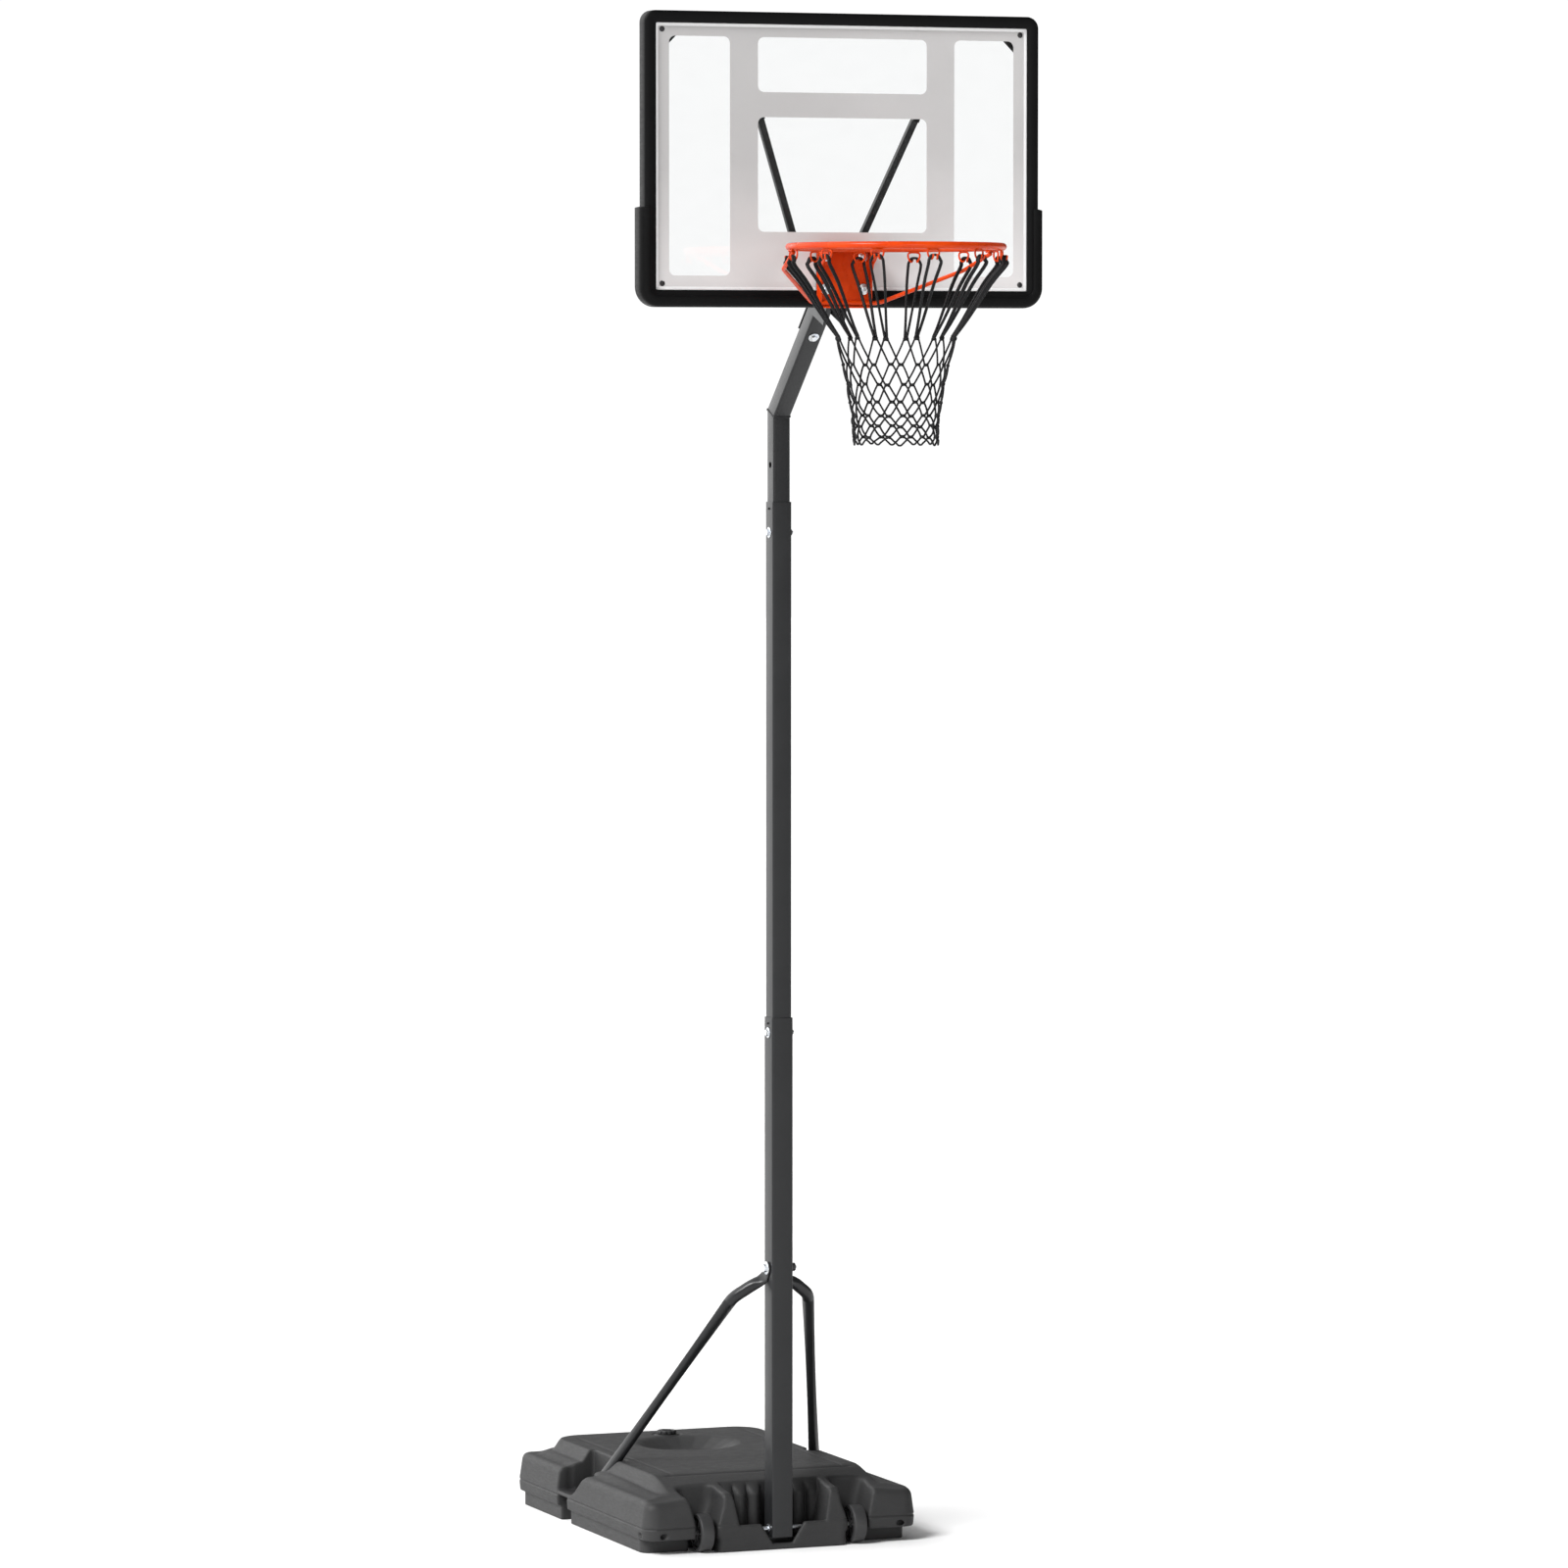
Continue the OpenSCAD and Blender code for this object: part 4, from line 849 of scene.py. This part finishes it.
def make_cap():
    """The filler cap, with a threaded plug, finger notches and a raised grip, and its gasket."""
    c = Vector(((CAP[0].x + CAP[1].x) / 2, (CAP[0].y + CAP[1].y) / 2, CAP[0].z))
    r, h, plug = (CAP[1].x - CAP[0].x) / 2, CAP[1].z - CAP[0].z, 0.015
    lo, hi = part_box("cap_seal")
    seat = hi.z - CAP[0].z
    profile = [(1e-5, 0.003)] + [(plug - a * MM, z * MM) for a, z in (
        (3, 3), (3, 0), (0.6, 0), (0, 0.8), (0.8, 2), (0, 3.2), (0.8, 4.5), (0, 5.8), (0.8, 7.2), (0, 8.5))]
    profile += [(plug, seat), (r - 0.0012, seat), (r, seat + 0.0012)]
    profile += [(r - a * MM, h - d * MM) for a, d in (
        (0, 1.6), (0.5, 0.5), (1.8, 0), (5, 0), (5.6, 0.8), (8.5, 1.2), (9.2, 0.4), (11, 0.2), (11.8, 2.2))]
    profile += [(1e-5, h - 0.0024)]
    shape = Shape().add(*lathe(profile, 120, notches=10, notch_from=r - 0.0045), Matrix.Translation(c))
    grip = rounded_rect(1.16 * r, 0.0042, 0.0018, 4)
    rings = [[(f * x, g * y, z) for x, y in grip]
             for f, g, z in ((1, 1, h - 0.0028), (1, 1, h - 0.0004), (0.97, 0.8, h))]
    shape.add(*loft(rings), Matrix.Translation(c))
    shape.piece("filler_cap", "cap", "cap_plastic", ["fill_cap"])
    inner, outer, b = 0.0155, hi.x - c.x, 0.0005
    profile = [(inner, lo.z), (outer - b, lo.z), (outer, lo.z + b),
               (outer, hi.z - b), (outer - b, hi.z), (inner, hi.z)]
    Shape().add(*lathe(profile, 64, closed=True), Matrix.Translation((c.x, c.y, 0))).piece(
        "cap_gasket", "seal_carrier", "seal_rubber", ["cap_seal"])


# ---------- backboard ----------

BOARD_W, BOARD_H, BOARD_Z = 2 * BOARD[0], BOARD[2] - BOARD[1], (BOARD[1] + BOARD[2]) / 2


def board_ring(out, y, r, steps=8):
    """A ring round the visible panel, moved out by out, with corners of radius r."""
    return [(x, y, BOARD_Z + z) for x, z in
            rounded_rect(BOARD_W + 2 * out, BOARD_H + 2 * out, max(r, 0.0006), steps)]


def make_edge_frame():
    """The moulded frame: a flat face with a soft outer shoulder and a lip over the panel."""
    front, back, out, r = EDGE[0].y, EDGE[1].y, EDGE[1].x - BOARD[0], 0.026
    behind, tuck = FACE_Y - 0.0003, TUCK + 0.0003
    profile = [(0, behind, 0.004), (0, front + 0.0022, 0.004),
               (0.0006, front + 0.0008, 0.0045), (0.002, front, 0.006)]
    profile += [(out - d, y, r - d) for d, y in (
        (0.0062, front), (0.0028, front + 0.0009), (0.0008, front + 0.0030), (0, front + 0.0062),
        (0, back - 0.002), (0.0007, back - 0.0006), (0.002, back))]
    rings = [board_ring(*row) for row in [*profile, (tuck, back, 0.006), (tuck, behind, 0.006)]]
    Shape().add(*loft(rings, closed=True)).piece("board_frame", "head", "frame_plastic", ["edge_frame"])


def trim_line(out, y, r, top, steps=10):
    """The lower part of a ring round the panel, open at the top."""
    w, h = BOARD_W / 2 + out, BOARD_H / 2 + out
    low = BOARD_Z - h
    left = [(-w, y, top), (-w, y, (top + low + r) / 2)]
    for k in range(steps + 1):
        a = pi / 2 * k / steps
        left.append((-(w - r) - r * cos(a), y, low + r - r * sin(a)))
    return left + [(-0.068, y, low), (0.068, y, low)] + [(-x, yy, z) for x, yy, z in left[::-1]]


def make_trim():
    """The padded guard that hooks over the frame's lower half, open behind the rim's plate."""
    front, back, side = TRIM[0].y, TRIM[1].y, TRIM[1].x - BOARD[0]
    inner, face = EDGE[1].x - BOARD[0] + 0.0003, EDGE[0].y - 0.0003
    lip, top, r = inner - 0.0143, TRIM[1].z + 0.018, 0.044
    profile = [(lip, face - 0.0002)] + [(lip + a * MM, front + d * MM) for a, d in (
        (0, 2.2), (0.6, 0.9), (2, 0.3), (7.5, 0))]
    profile += [(side - a * MM, front + d * MM) for a, d in (
        (10, 0.2), (5.5, 1.8), (2.2, 5.2), (0.5, 9.5), (0, 14))]
    profile += [(side - a * MM, back - d * MM) for a, d in ((0, 3), (0.8, 0.8), (3, 0))]
    profile += [(inner, back), (inner, face)]
    # the top end falls away towards the outside
    lines = [trim_line(out, y, max(r - (side - out), 0.004), top - 0.004 * ((out - lip) / (side - lip)) ** 2)
             for out, y in profile]
    trim = Shape().add(*loft(list(zip(*lines)))).piece("lower_guard", "head", "frame_plastic", ["lower_trim"])
    w, z0, z1 = 0.066, PLATE[0].z - 0.002, 2.83
    cut(trim, Shape().add(*loft([[(-w, y, z0), (w, y, z0), (w, y, z1), (-w, y, z1)]
                                 for y in (TRIM[0].y - 0.01, EDGE[0].y - 0.0002)])))


def make_rear_frame():
    """Square tubes behind the panel, with a gusset in each upper corner."""
    (_, y0, z0), (x1, y1, z1) = REAR
    tube, post, post_x, soft, lap = 0.025, 0.020, 0.2295, 0.0012, 0.001
    shape = Shape()

    def bar(xa, xb, za, zb, deep=0.0):
        section = ((soft, deep), (0.0, deep + soft), (0.0, y1 - y0 - deep - soft), (soft, y1 - y0 - deep))
        shape.add(*loft([[((xa + xb) / 2 + x, y0 + y, (za + zb) / 2 + z) for x, z in
                          rounded_rect(xb - xa - 2 * d, zb - za - 2 * d, 0.003 - d, 4)] for d, y in section]))

    for z in (z0, z1 - tube):
        bar(-x1, x1, z, z + tube)
    for s in (-1, 1):
        for x, half in ((s * (x1 - tube / 2), tube / 2), (s * post_x, post / 2)):
            bar(x - half, x + half, z0 + tube - lap, z1 - tube + lap, 0.0001)
    reach = post_x - post / 2 + lap
    for z in (BOARD[1] + 0.044, BOARD[1] + 0.402):
        bar(-reach, reach, z - post / 2, z + post / 2, 0.0002)
    for s in (-1, 1):
        x, z, leg = s * (x1 - tube + lap), z1 - tube + lap, 0.043
        shape.add(*loft([[(x, y, z), (x - s * leg, y, z), (x, y, z - leg)]
                         for y in (y0 + 0.0055, y0 + 0.0075)]))
    shape.piece("rear_tubes", "head", "black_paint", ["rear_frame"], sharp=40)


def window(x0, x1, z0, z1, r=0.014, steps=8):
    return [((x0 + x1) / 2 + x, (z0 + z1) / 2 + z) for x, z in rounded_rect(x1 - x0, z1 - z0, r, steps)]


def print_layer(name, outline, holes, y, thick, ink):
    """A thin printed layer: outline with holes, as a closed solid on the panel's front."""
    curve = bpy.data.curves.new(name, "CURVE")
    curve.dimensions, curve.fill_mode, curve.extrude = "2D", "BOTH", thick / 2
    for loop in (outline, *holes):
        spline = curve.splines.new("POLY")
        spline.points.add(len(loop) - 1)
        for p, (x, z) in zip(spline.points, loop):
            p.co = (x, z, 0, 1)
        spline.use_cyclic_u = True
    temp = new_object(name + "_line", curve)
    mesh = final_mesh(temp)
    bpy.data.objects.remove(temp)
    mesh.transform(Matrix.Translation((0, y, 0)) @ Matrix.Rotation(pi / 2, 4, "X"))
    mesh.name = name
    finish_piece(mend(mesh, 1e-6), name, "head", "clear_panel", sharp=20, material=ink)


def make_print():
    """The silver print with its windows, and the thin white line round it."""
    x, z0, z1 = BOARD
    line, margin, column, bar, edge = 0.007, 0.032, 0.197, 0.065, 0.0004
    low, high = z0 + margin - 0.001, z1 - 0.028
    strip, square = high - 0.118, high - 0.118 - 0.054
    holes = [window(-x + margin, -column - bar, low, high), window(column + bar, x - margin, low, high),
             window(-column, column, strip, high), window(-column, column, square - 0.247, square)]
    holes += [[(sx * (x - 0.016) + px, z + pz) for px, pz in circle(0.0062, 20)]
              for sx in (-1, 1) for z in (z0 + 0.014, z1 - 0.014)]

    def border(d):
        return window(-x + d, x - d, z0 + d, z1 - d, 0.003, 3)

    print_layer("panel_print", border(line), holes, FACE_Y - 0.00012, 0.0002, "silver_ink")
    print_layer("panel_border", border(edge), [border(line + edge / 2)],
                FACE_Y - 0.0001, 0.00016, "white_ink")


def make_corner_screws():
    def cross(size, z):
        """A ring round the driver's cross."""
        ring = []
        for a in turns(48):
            r = min(size, 0.00055 / max(min(abs(cos(a)), abs(sin(a))), 1e-3))
            ring.append((r * cos(a), r * sin(a), z))
        return ring

    rings = [disc(r, z) for r, z in ((0.0020, -0.012), (0.0020, -0.0003), (0.0053, -0.0003), (0.0055, 0.0003),
                                     (0.0052, 0.0011), (0.0043, 0.0019), (0.0030, 0.0024))]
    rings += [cross(0.0026, 0.00242), cross(0.0022, 0.0008)]
    shape = Shape()
    for s in (-1, 1):
        for z in (BOARD[1] + 0.014, BOARD[2] - 0.014):
            shape.add(*loft(rings), aimed((s * (BOARD[0] - 0.016), FACE_Y, z), -Y, radians(18 * s)))
    shape.piece("frame_screws", "head", "dark_steel", ["corner_screws"])


# ---------- rim ----------

PLATE_T = 0.004

def make_hoop():
    path = [RIM_C + Vector((RIM_R * cos(a), RIM_R * sin(a), 0)) for a in turns(160)]
    Shape().add(*sweep(path, circle(RIM_BAR, 20), closed=True)).piece(
        "rim_hoop", "head", "rim_paint", ["rim_ring"])


def make_bracket():
    """A pressed sheet with folded sides, a top flange and a lower lip."""
    half, back, t = PLATE[1].x, PLATE[1].y, PLATE_T
    front, reach = back - t, RIM_C.y + RIM_R
    z0, z1 = PLATE[0].z, PLATE[1].z
    shape = Shape().add(*loft([[(x, y, (z0 + z1) / 2 + z) for x, z in
                                rounded_rect(2 * half - 2 * d, z1 - z0 - 2 * d, 0.006 - d, 6)] for d, y in
                               ((0.0006, back), (0, back - 0.0006), (0, front + 0.0008), (0.0008, front))]))
    # top flange, rounded over the plate's edge
    flange = [(front + 0.0015, z1 - t), (front - 0.004, z1 - t), (reach, z1 - t), (reach - 0.0005, z1),
              (front - 0.004, z1), (front + 0.0008, z1 - 0.0006), (back - 0.0008, z1 - 0.0030)]
    w, soft = half - 0.003, 0.0005
    shape.add(*loft(at_each_x(flange, (-w, -w + soft, w - soft, w))))
    # side folds that taper from the flange down the plate
    fold = [(front + 0.001, z1 - t), (front - 0.018, z1 - t), (reach + 0.006, z1 - t - soft),
            (reach + 0.010, z1 - t - 0.006), (front - 0.020, z1 - 0.036), (front - 0.0105, z1 - 0.060),
            (front - 0.0095, z0 + 0.012), (front - 0.004, z0 + 0.004), (front + 0.001, z0 + 0.004)]
    small = np.mean(fold, axis=0) + (fold - np.mean(fold, axis=0)) * 0.985
    for s in (-1, 1):
        x = [s * (half - d) for d in (0.0068, 0.0062, 0.0040, 0.0034)]
        shape.add(*loft(at_each_x(small, x[:1]) + at_each_x(fold, x[1:3]) + at_each_x(small, x[3:])))
    # folded lip along the bottom
    lip = [(front + y * MM, z0 + z * MM) for y, z in (
        (2, 0.5), (-7, 0), (-9, 1.2), (-8.5, 3.2), (-6, 3.6), (2, 4.2))]
    shape.add(*loft(at_each_x(lip, (-half + 0.007, half - 0.007))))
    shape.piece("rim_bracket", "head", "rim_paint", ["rim_plate"], sharp=25)


def make_rim_rod():
    """The brace rod under the ring, and weld beads: rod to ring, rod to plate, flange to ring."""
    front, r = PLATE[1].y - PLATE_T, 0.0045
    cross_z, y0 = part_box("rim_brace")[0].z + r, front - r
    right = [(0.078, y0, cross_z), (0.210, front - 0.170, cross_z + 0.070),
             (0.2275, RIM_C.y + 0.018, RIM_C.z - RIM_BAR - r - 0.0002)]
    points = [(-x, y, z) for x, y, z in right[::-1]] + right
    Shape().add(*rod(fillet(points, 0.03, 8), r, 14)).piece(
        "rim_strut", "head", "rim_paint", ["rim_brace"], sharp=60)
    welds = Shape()

    def rough_bead(line, r, ripple, pace):
        welds.add(*sweep(line, circle(r, 8), scale=[1 + ripple * sin(pace * k) for k in range(len(line))]))

    for s in (-1, 1):
        at = Vector((s * 0.2277, RIM_C.y + 0.024, RIM_C.z - RIM_BAR - 0.0010))
        for dx in (-r, r):
            line = [at + Vector((dx, 0.004 * k - 0.009, 0.0003 * sin(2.3 * k))) for k in range(6)]
            welds.add(*rod(line, 0.0021, 8))
        line = [Vector((s * (0.012 + 0.0032 * k), front - 0.0012, cross_z + 0.0042)) for k in range(14)]
        rough_bead(line, 0.0018, 0.2, 2.0)
    arc, bead_r = [radians(90) + radians(14) * (k / 20 - 1) for k in range(41)], RIM_R + 0.006
    rough_bead([RIM_C + Vector((bead_r * cos(a), bead_r * sin(a), 0.0052)) for a in arc], 0.0024, 0.18, 1.9)
    welds.piece("rim_welds", "head", "rim_paint", sharp=70)


HOOKS = 12
HOOK_TURN = radians(-2.1)
HOOK_WIRE = 0.0021
HOOK_SEAT = (0.0055, -0.0290)
# across the hook, out from the ring's centre line and up, for one half of the bent wire
HOOK_HALF = [
    (0.0045, 0.0112, -0.0185), (0.0048, 0.0104, -0.0248), (0.0060, *HOOK_SEAT), (0.0085, 0.0012, -0.0270),
    (0.0120, 0.0, -0.0205), (0.0128, 0.0, -0.0135), (0.0098, 0.0, -0.0094), (0.0040, 0.0, -0.0086)]


def hook_frame(i):
    """The directions outwards and along the ring at a hook."""
    a = tau * i / HOOKS + HOOK_TURN
    return Vector((cos(a), sin(a), 0)), Vector((-sin(a), cos(a), 0))


def make_hooks():
    """An open wire loop under the ring at each place, with its two ends turned up to hold the net."""
    shape = Shape()
    half = [(s * a, b, c) for s, line in ((-1, HOOK_HALF), (1, HOOK_HALF[::-1])) for a, b, c in line]
    for i in range(HOOKS):
        radial, tangent = hook_frame(i)
        base = RIM_C + radial * RIM_R
        path = [base + tangent * a + radial * b + Z * c for a, b, c in half]
        shape.add(*rod(smooth_path(path, 4), HOOK_WIRE, 10))
        for s in (-1, 1):
            bead = [base + tangent * (s * (0.0062 + 0.0016 * k)) - Z * (0.0086 + 0.0004 * k)
                    for k in range(4)]
            shape.add(*rod(bead, 0.0024, 8))
    shape.piece("wire_hooks", "head", "rim_paint", ["net_hooks"], sharp=60)


def smooth_path(points, parts):
    """Catmull-Rom points through a path."""
    p = [Vector(a) for a in points]
    p = [2 * p[0] - p[1], *p, 2 * p[-1] - p[-2]]
    out = []
    for a, b, c, d in zip(p, p[1:], p[2:], p[3:]):
        for k in range(parts):
            t = k / parts
            out.append(0.5 * ((2 * b) + (c - a) * t + (2 * a - 5 * b + 4 * c - d) * t * t
                              + (3 * b - a - 3 * c + d) * t ** 3))
    out.append(p[-2])
    return out


class Cords(Shape):
    """Cord pieces with UVs: u along the cord in metres, v once round it."""

    def __init__(self):
        super().__init__()
        self.loops = []

    def cord(self, path, r):
        steps = 8
        verts, faces = sweep(path, circle(r, steps))
        lengths = [0.0]
        for a, b in zip(path, path[1:]):
            lengths.append(lengths[-1] + (b - a).length)
        for f in faces[:-2]:
            i, k = min(f) // steps, f[0] % steps
            self.loops += [(lengths[i + du], (k + dv) / steps) for du, dv in ((0, 0), (0, 1), (1, 1), (1, 0))]
        self.loops += [(0.0, 0.0)] * (2 * steps)
        self.add(verts, faces)

    def piece(self, name, body, slot, replaces=(), sharp=60):
        mesh = self.mesh(name)
        mesh.uv_layers.new(name="cord").data.foreach_set("uv", np.array(self.loops, np.float32).ravel())
        return finish_piece(mesh, name, body, slot, replaces, sharp)


# each row of knots: its depth below the ring and its radius
NET_ROWS = [(0.195, 0.128), (0.251, 0.112), (0.293, 0.103), (0.331, 0.097), (0.360, 0.092),
            (0.382, 0.091), (0.405, 0.090)]
NET_END = (0.424, 0.090)
CORD_R = 0.00215
LOOP_R = 0.0034
KNOT_HALF = 0.0042


def net_point(depth, radius, step):
    a = tau * step / (2 * HOOKS) + HOOK_TURN
    return RIM_C + Vector((radius * cos(a), radius * sin(a), -depth))


def make_net():
    rng = np.random.default_rng(7)

    def jitter(size):
        return Vector(rng.normal(0, size, 3))

    def outward(p):
        return Vector((p.x - RIM_C.x, p.y - RIM_C.y, 0)).normalized()

    def knot_end(p, s, drop):
        return p + Z.cross(outward(p)) * (s * KNOT_HALF) - Z * drop

    rows = []
    for row, (depth, radius) in enumerate(NET_ROWS):
        rows.append([net_point(depth, radius, 2 * i + row % 2) + jitter(0.0008) for i in range(HOOKS)])
    loops, cords, ties = Cords(), Cords(), Cords()
    # a doubled loop over each hook, both of its legs ending in the knot below
    seat = HOOK_SEAT[1] + HOOK_WIRE + LOOP_R + 0.0001
    for i in range(HOOKS):
        radial, tangent = hook_frame(i)
        top = RIM_C + radial * RIM_R + radial * (HOOK_SEAT[0] + 0.0012)
        for strand in (-1, 1):
            shift = radial * (strand * 0.0022)
            knot = rows[0][i] + tangent * (strand * 0.0003)
            legs = []
            for s in (-1, 1):
                leg = [knot + tangent * (s * 0.0022) + Z * 0.004]
                leg += [knot.lerp(top - Z * 0.030, share) + tangent * (s * wide) + shift * apart
                        for share, wide, apart in ((0.25, 0.0052, 0.4), (0.7, 0.0112, 1.0))]
                legs.append(leg + [top + tangent * (s * wide) + Z * up + shift for wide, up in (
                    (0.0138, -0.0400), (0.0122, -0.0302), (0.0072, seat + 0.0012))])
            crown = top + Z * (seat + 0.0030) + shift
            loops.cord(smooth_path([*legs[0], crown, *legs[1][::-1]], 4), LOOP_R * 0.82)
    # meshes: a cord leaves each end of every knot for the next row's knots
    for row, (upper, lower) in enumerate(zip(rows, rows[1:])):
        for i, a in enumerate(upper):
            for s in (-1, 1):
                start = knot_end(a, s, 0.0012)
                end = knot_end(lower[(i + (s - 1) // 2 + row % 2) % HOOKS], -s, -0.0012)
                bow = outward((start + end) / 2) * 0.0016 + jitter(0.0005)
                path = [start, start.lerp(end, 0.3) + bow, start.lerp(end, 0.7) + bow, end]
                cords.cord(smooth_path(path, 3), CORD_R)
    # lower edge: the last cords meet in round tips half way between the knots
    last, odd = rows[-1], (len(rows) - 1) % 2
    for i in range(HOOKS):
        tip = net_point(NET_END[0] - CORD_R, NET_END[1], 2 * i + odd + 1) + jitter(0.0006)
        out = outward(tip)
        side = Z.cross(out)
        start, end = knot_end(last[i], 1, 0.0012), knot_end(last[(i + 1) % HOOKS], -1, 0.0012)
        path = [start, start.lerp(tip - side * 0.0070 + Z * 0.0042, 0.55) + out * 0.001]
        path += [tip + side * a + Z * b for a, b in (
            (-0.0062, 0.0040), (-0.0026, 0.0008), (0.0026, 0.0008), (0.0062, 0.0040))]
        path += [end.lerp(tip + side * 0.0070 + Z * 0.0042, 0.55) + out * 0.001, end]
        cords.cord(smooth_path(path, 3), CORD_R)
    # knots: a wrap that crosses itself round a short bar
    for row, line in enumerate(rows):
        big = 1.2 if row == 0 else 1.0
        for p in line:
            out = outward(p)
            tangent = Z.cross(out)
            path = [p + tangent * (KNOT_HALF * 0.95 * sin(a)) + Z * (0.0019 * big * sin(2 * a))
                    + out * (0.0018 * big * cos(a)) for a in turns(24)]
            ties.cord([*path, path[0]], CORD_R * 1.05 * big)
            ties.cord([p + tangent * (KNOT_HALF * f) for f in (-1.1, -0.5, 0.5, 1.1)], 0.0022 * big)
    loops.piece("net_loops", "head", "net_cord", ["net"])
    cords.piece("net_mesh", "head", "net_cord")
    ties.piece("net_knots", "head", "net_cord")


# ---------- nodes that keep their CAD shape ----------

def dress_cad_nodes():
    slots = {s["node"]: s["material_slot"] for s in frame["record"]["subparts"]}
    widths = {"head_bracket": 0.0009, "brace_left": 0.0012, "brace_right": 0.0012,
              "backboard_panel": 0.0004, "spacer_pad": 0.0012}
    for name, obj in frame["nodes"].items():
        obj.data.materials.clear()
        obj.data.materials.append(MATERIALS[slots[name]])
        if obj.hide_render:
            continue
        obj.modifiers.new("weld", "WELD").merge_threshold = 1e-6
        bevel = obj.modifiers.new("bevel", "BEVEL")
        bevel.width, bevel.segments = widths[name], 2
        bevel.limit_method, bevel.angle_limit = "ANGLE", radians(40)


# ---------- stage ----------

def make_world():
    """White as the camera sees it; for everything else bright behind the hoop's left and dim in front."""
    bpy.context.scene.world = world = bpy.data.worlds.new("studio")
    world.use_nodes = True
    link, new = world.node_tree.links.new, world.node_tree.nodes.new
    toward, ramp, choose = (new("ShaderNode" + kind) for kind in ("VectorMath", "MapRange", "Mix"))
    toward.operation, ramp.interpolation_type = "DOT_PRODUCT", "SMOOTHSTEP"
    toward.inputs[1].default_value = (-0.74, 0.65, 0.17)
    for key, value in (("From Min", 0.2), ("From Max", 0.97), ("To Min", 0.12), ("To Max", 2.4)):
        ramp.inputs[key].default_value = value
    choose.inputs[3].default_value = 1.05
    background = world.node_tree.nodes["Background"]
    background.inputs[0].default_value = (1, 1, 1, 1)
    link(new("ShaderNodeTexCoord").outputs["Generated"], toward.inputs[0])
    link(toward.outputs["Value"], ramp.inputs["Value"])
    link(new("ShaderNodeLightPath").outputs["Is Camera Ray"], choose.inputs[0])
    link(ramp.outputs[0], choose.inputs[2])
    link(choose.outputs[0], background.inputs[1])


def make_stage():
    size = 60.0
    mesh = bpy.data.meshes.new("floor")
    corners = [(-size, -size, 0), (size, -size, 0), (size, size, 0), (-size, size, 0)]
    mesh.from_pydata(corners, [], [(0, 1, 2, 3)])
    s = Shader("floor", Specular_IOR_Level=0.05)
    s.set(Base_Color=s.mix(s.noise(1.5, 3), (0.9, 0.9, 0.9), (0.93, 0.93, 0.93)), Roughness=0.95)
    mesh.materials.append(s.material)
    new_object("floor", mesh)
    make_world()
    bpy.context.scene.view_settings.view_transform = "Standard"
    for name, energy, aim in (("key", 3.3, (0.64, 0.34, -0.68)), ("fill", 0.55, (0.05, 0.97, -0.16))):
        light = bpy.data.lights.new(name, "SUN")
        light.energy, light.angle = energy, radians(22)
        new_object(name, light).rotation_euler = Vector(aim).to_track_quat("-Z", "Y").to_euler()


make_tank()
make_wheel("wheel_left", "left_wheel")
make_wheel("wheel_right", "right_wheel")
make_axle()
make_cap()
make_mast()
make_fasteners()
make_edge_frame()
make_trim()
make_rear_frame()
make_print()
make_corner_screws()
make_hoop()
make_bracket()
make_rim_rod()
make_hooks()
make_net()
dress_cad_nodes()
make_stage()

bpy.context.view_layer.update()
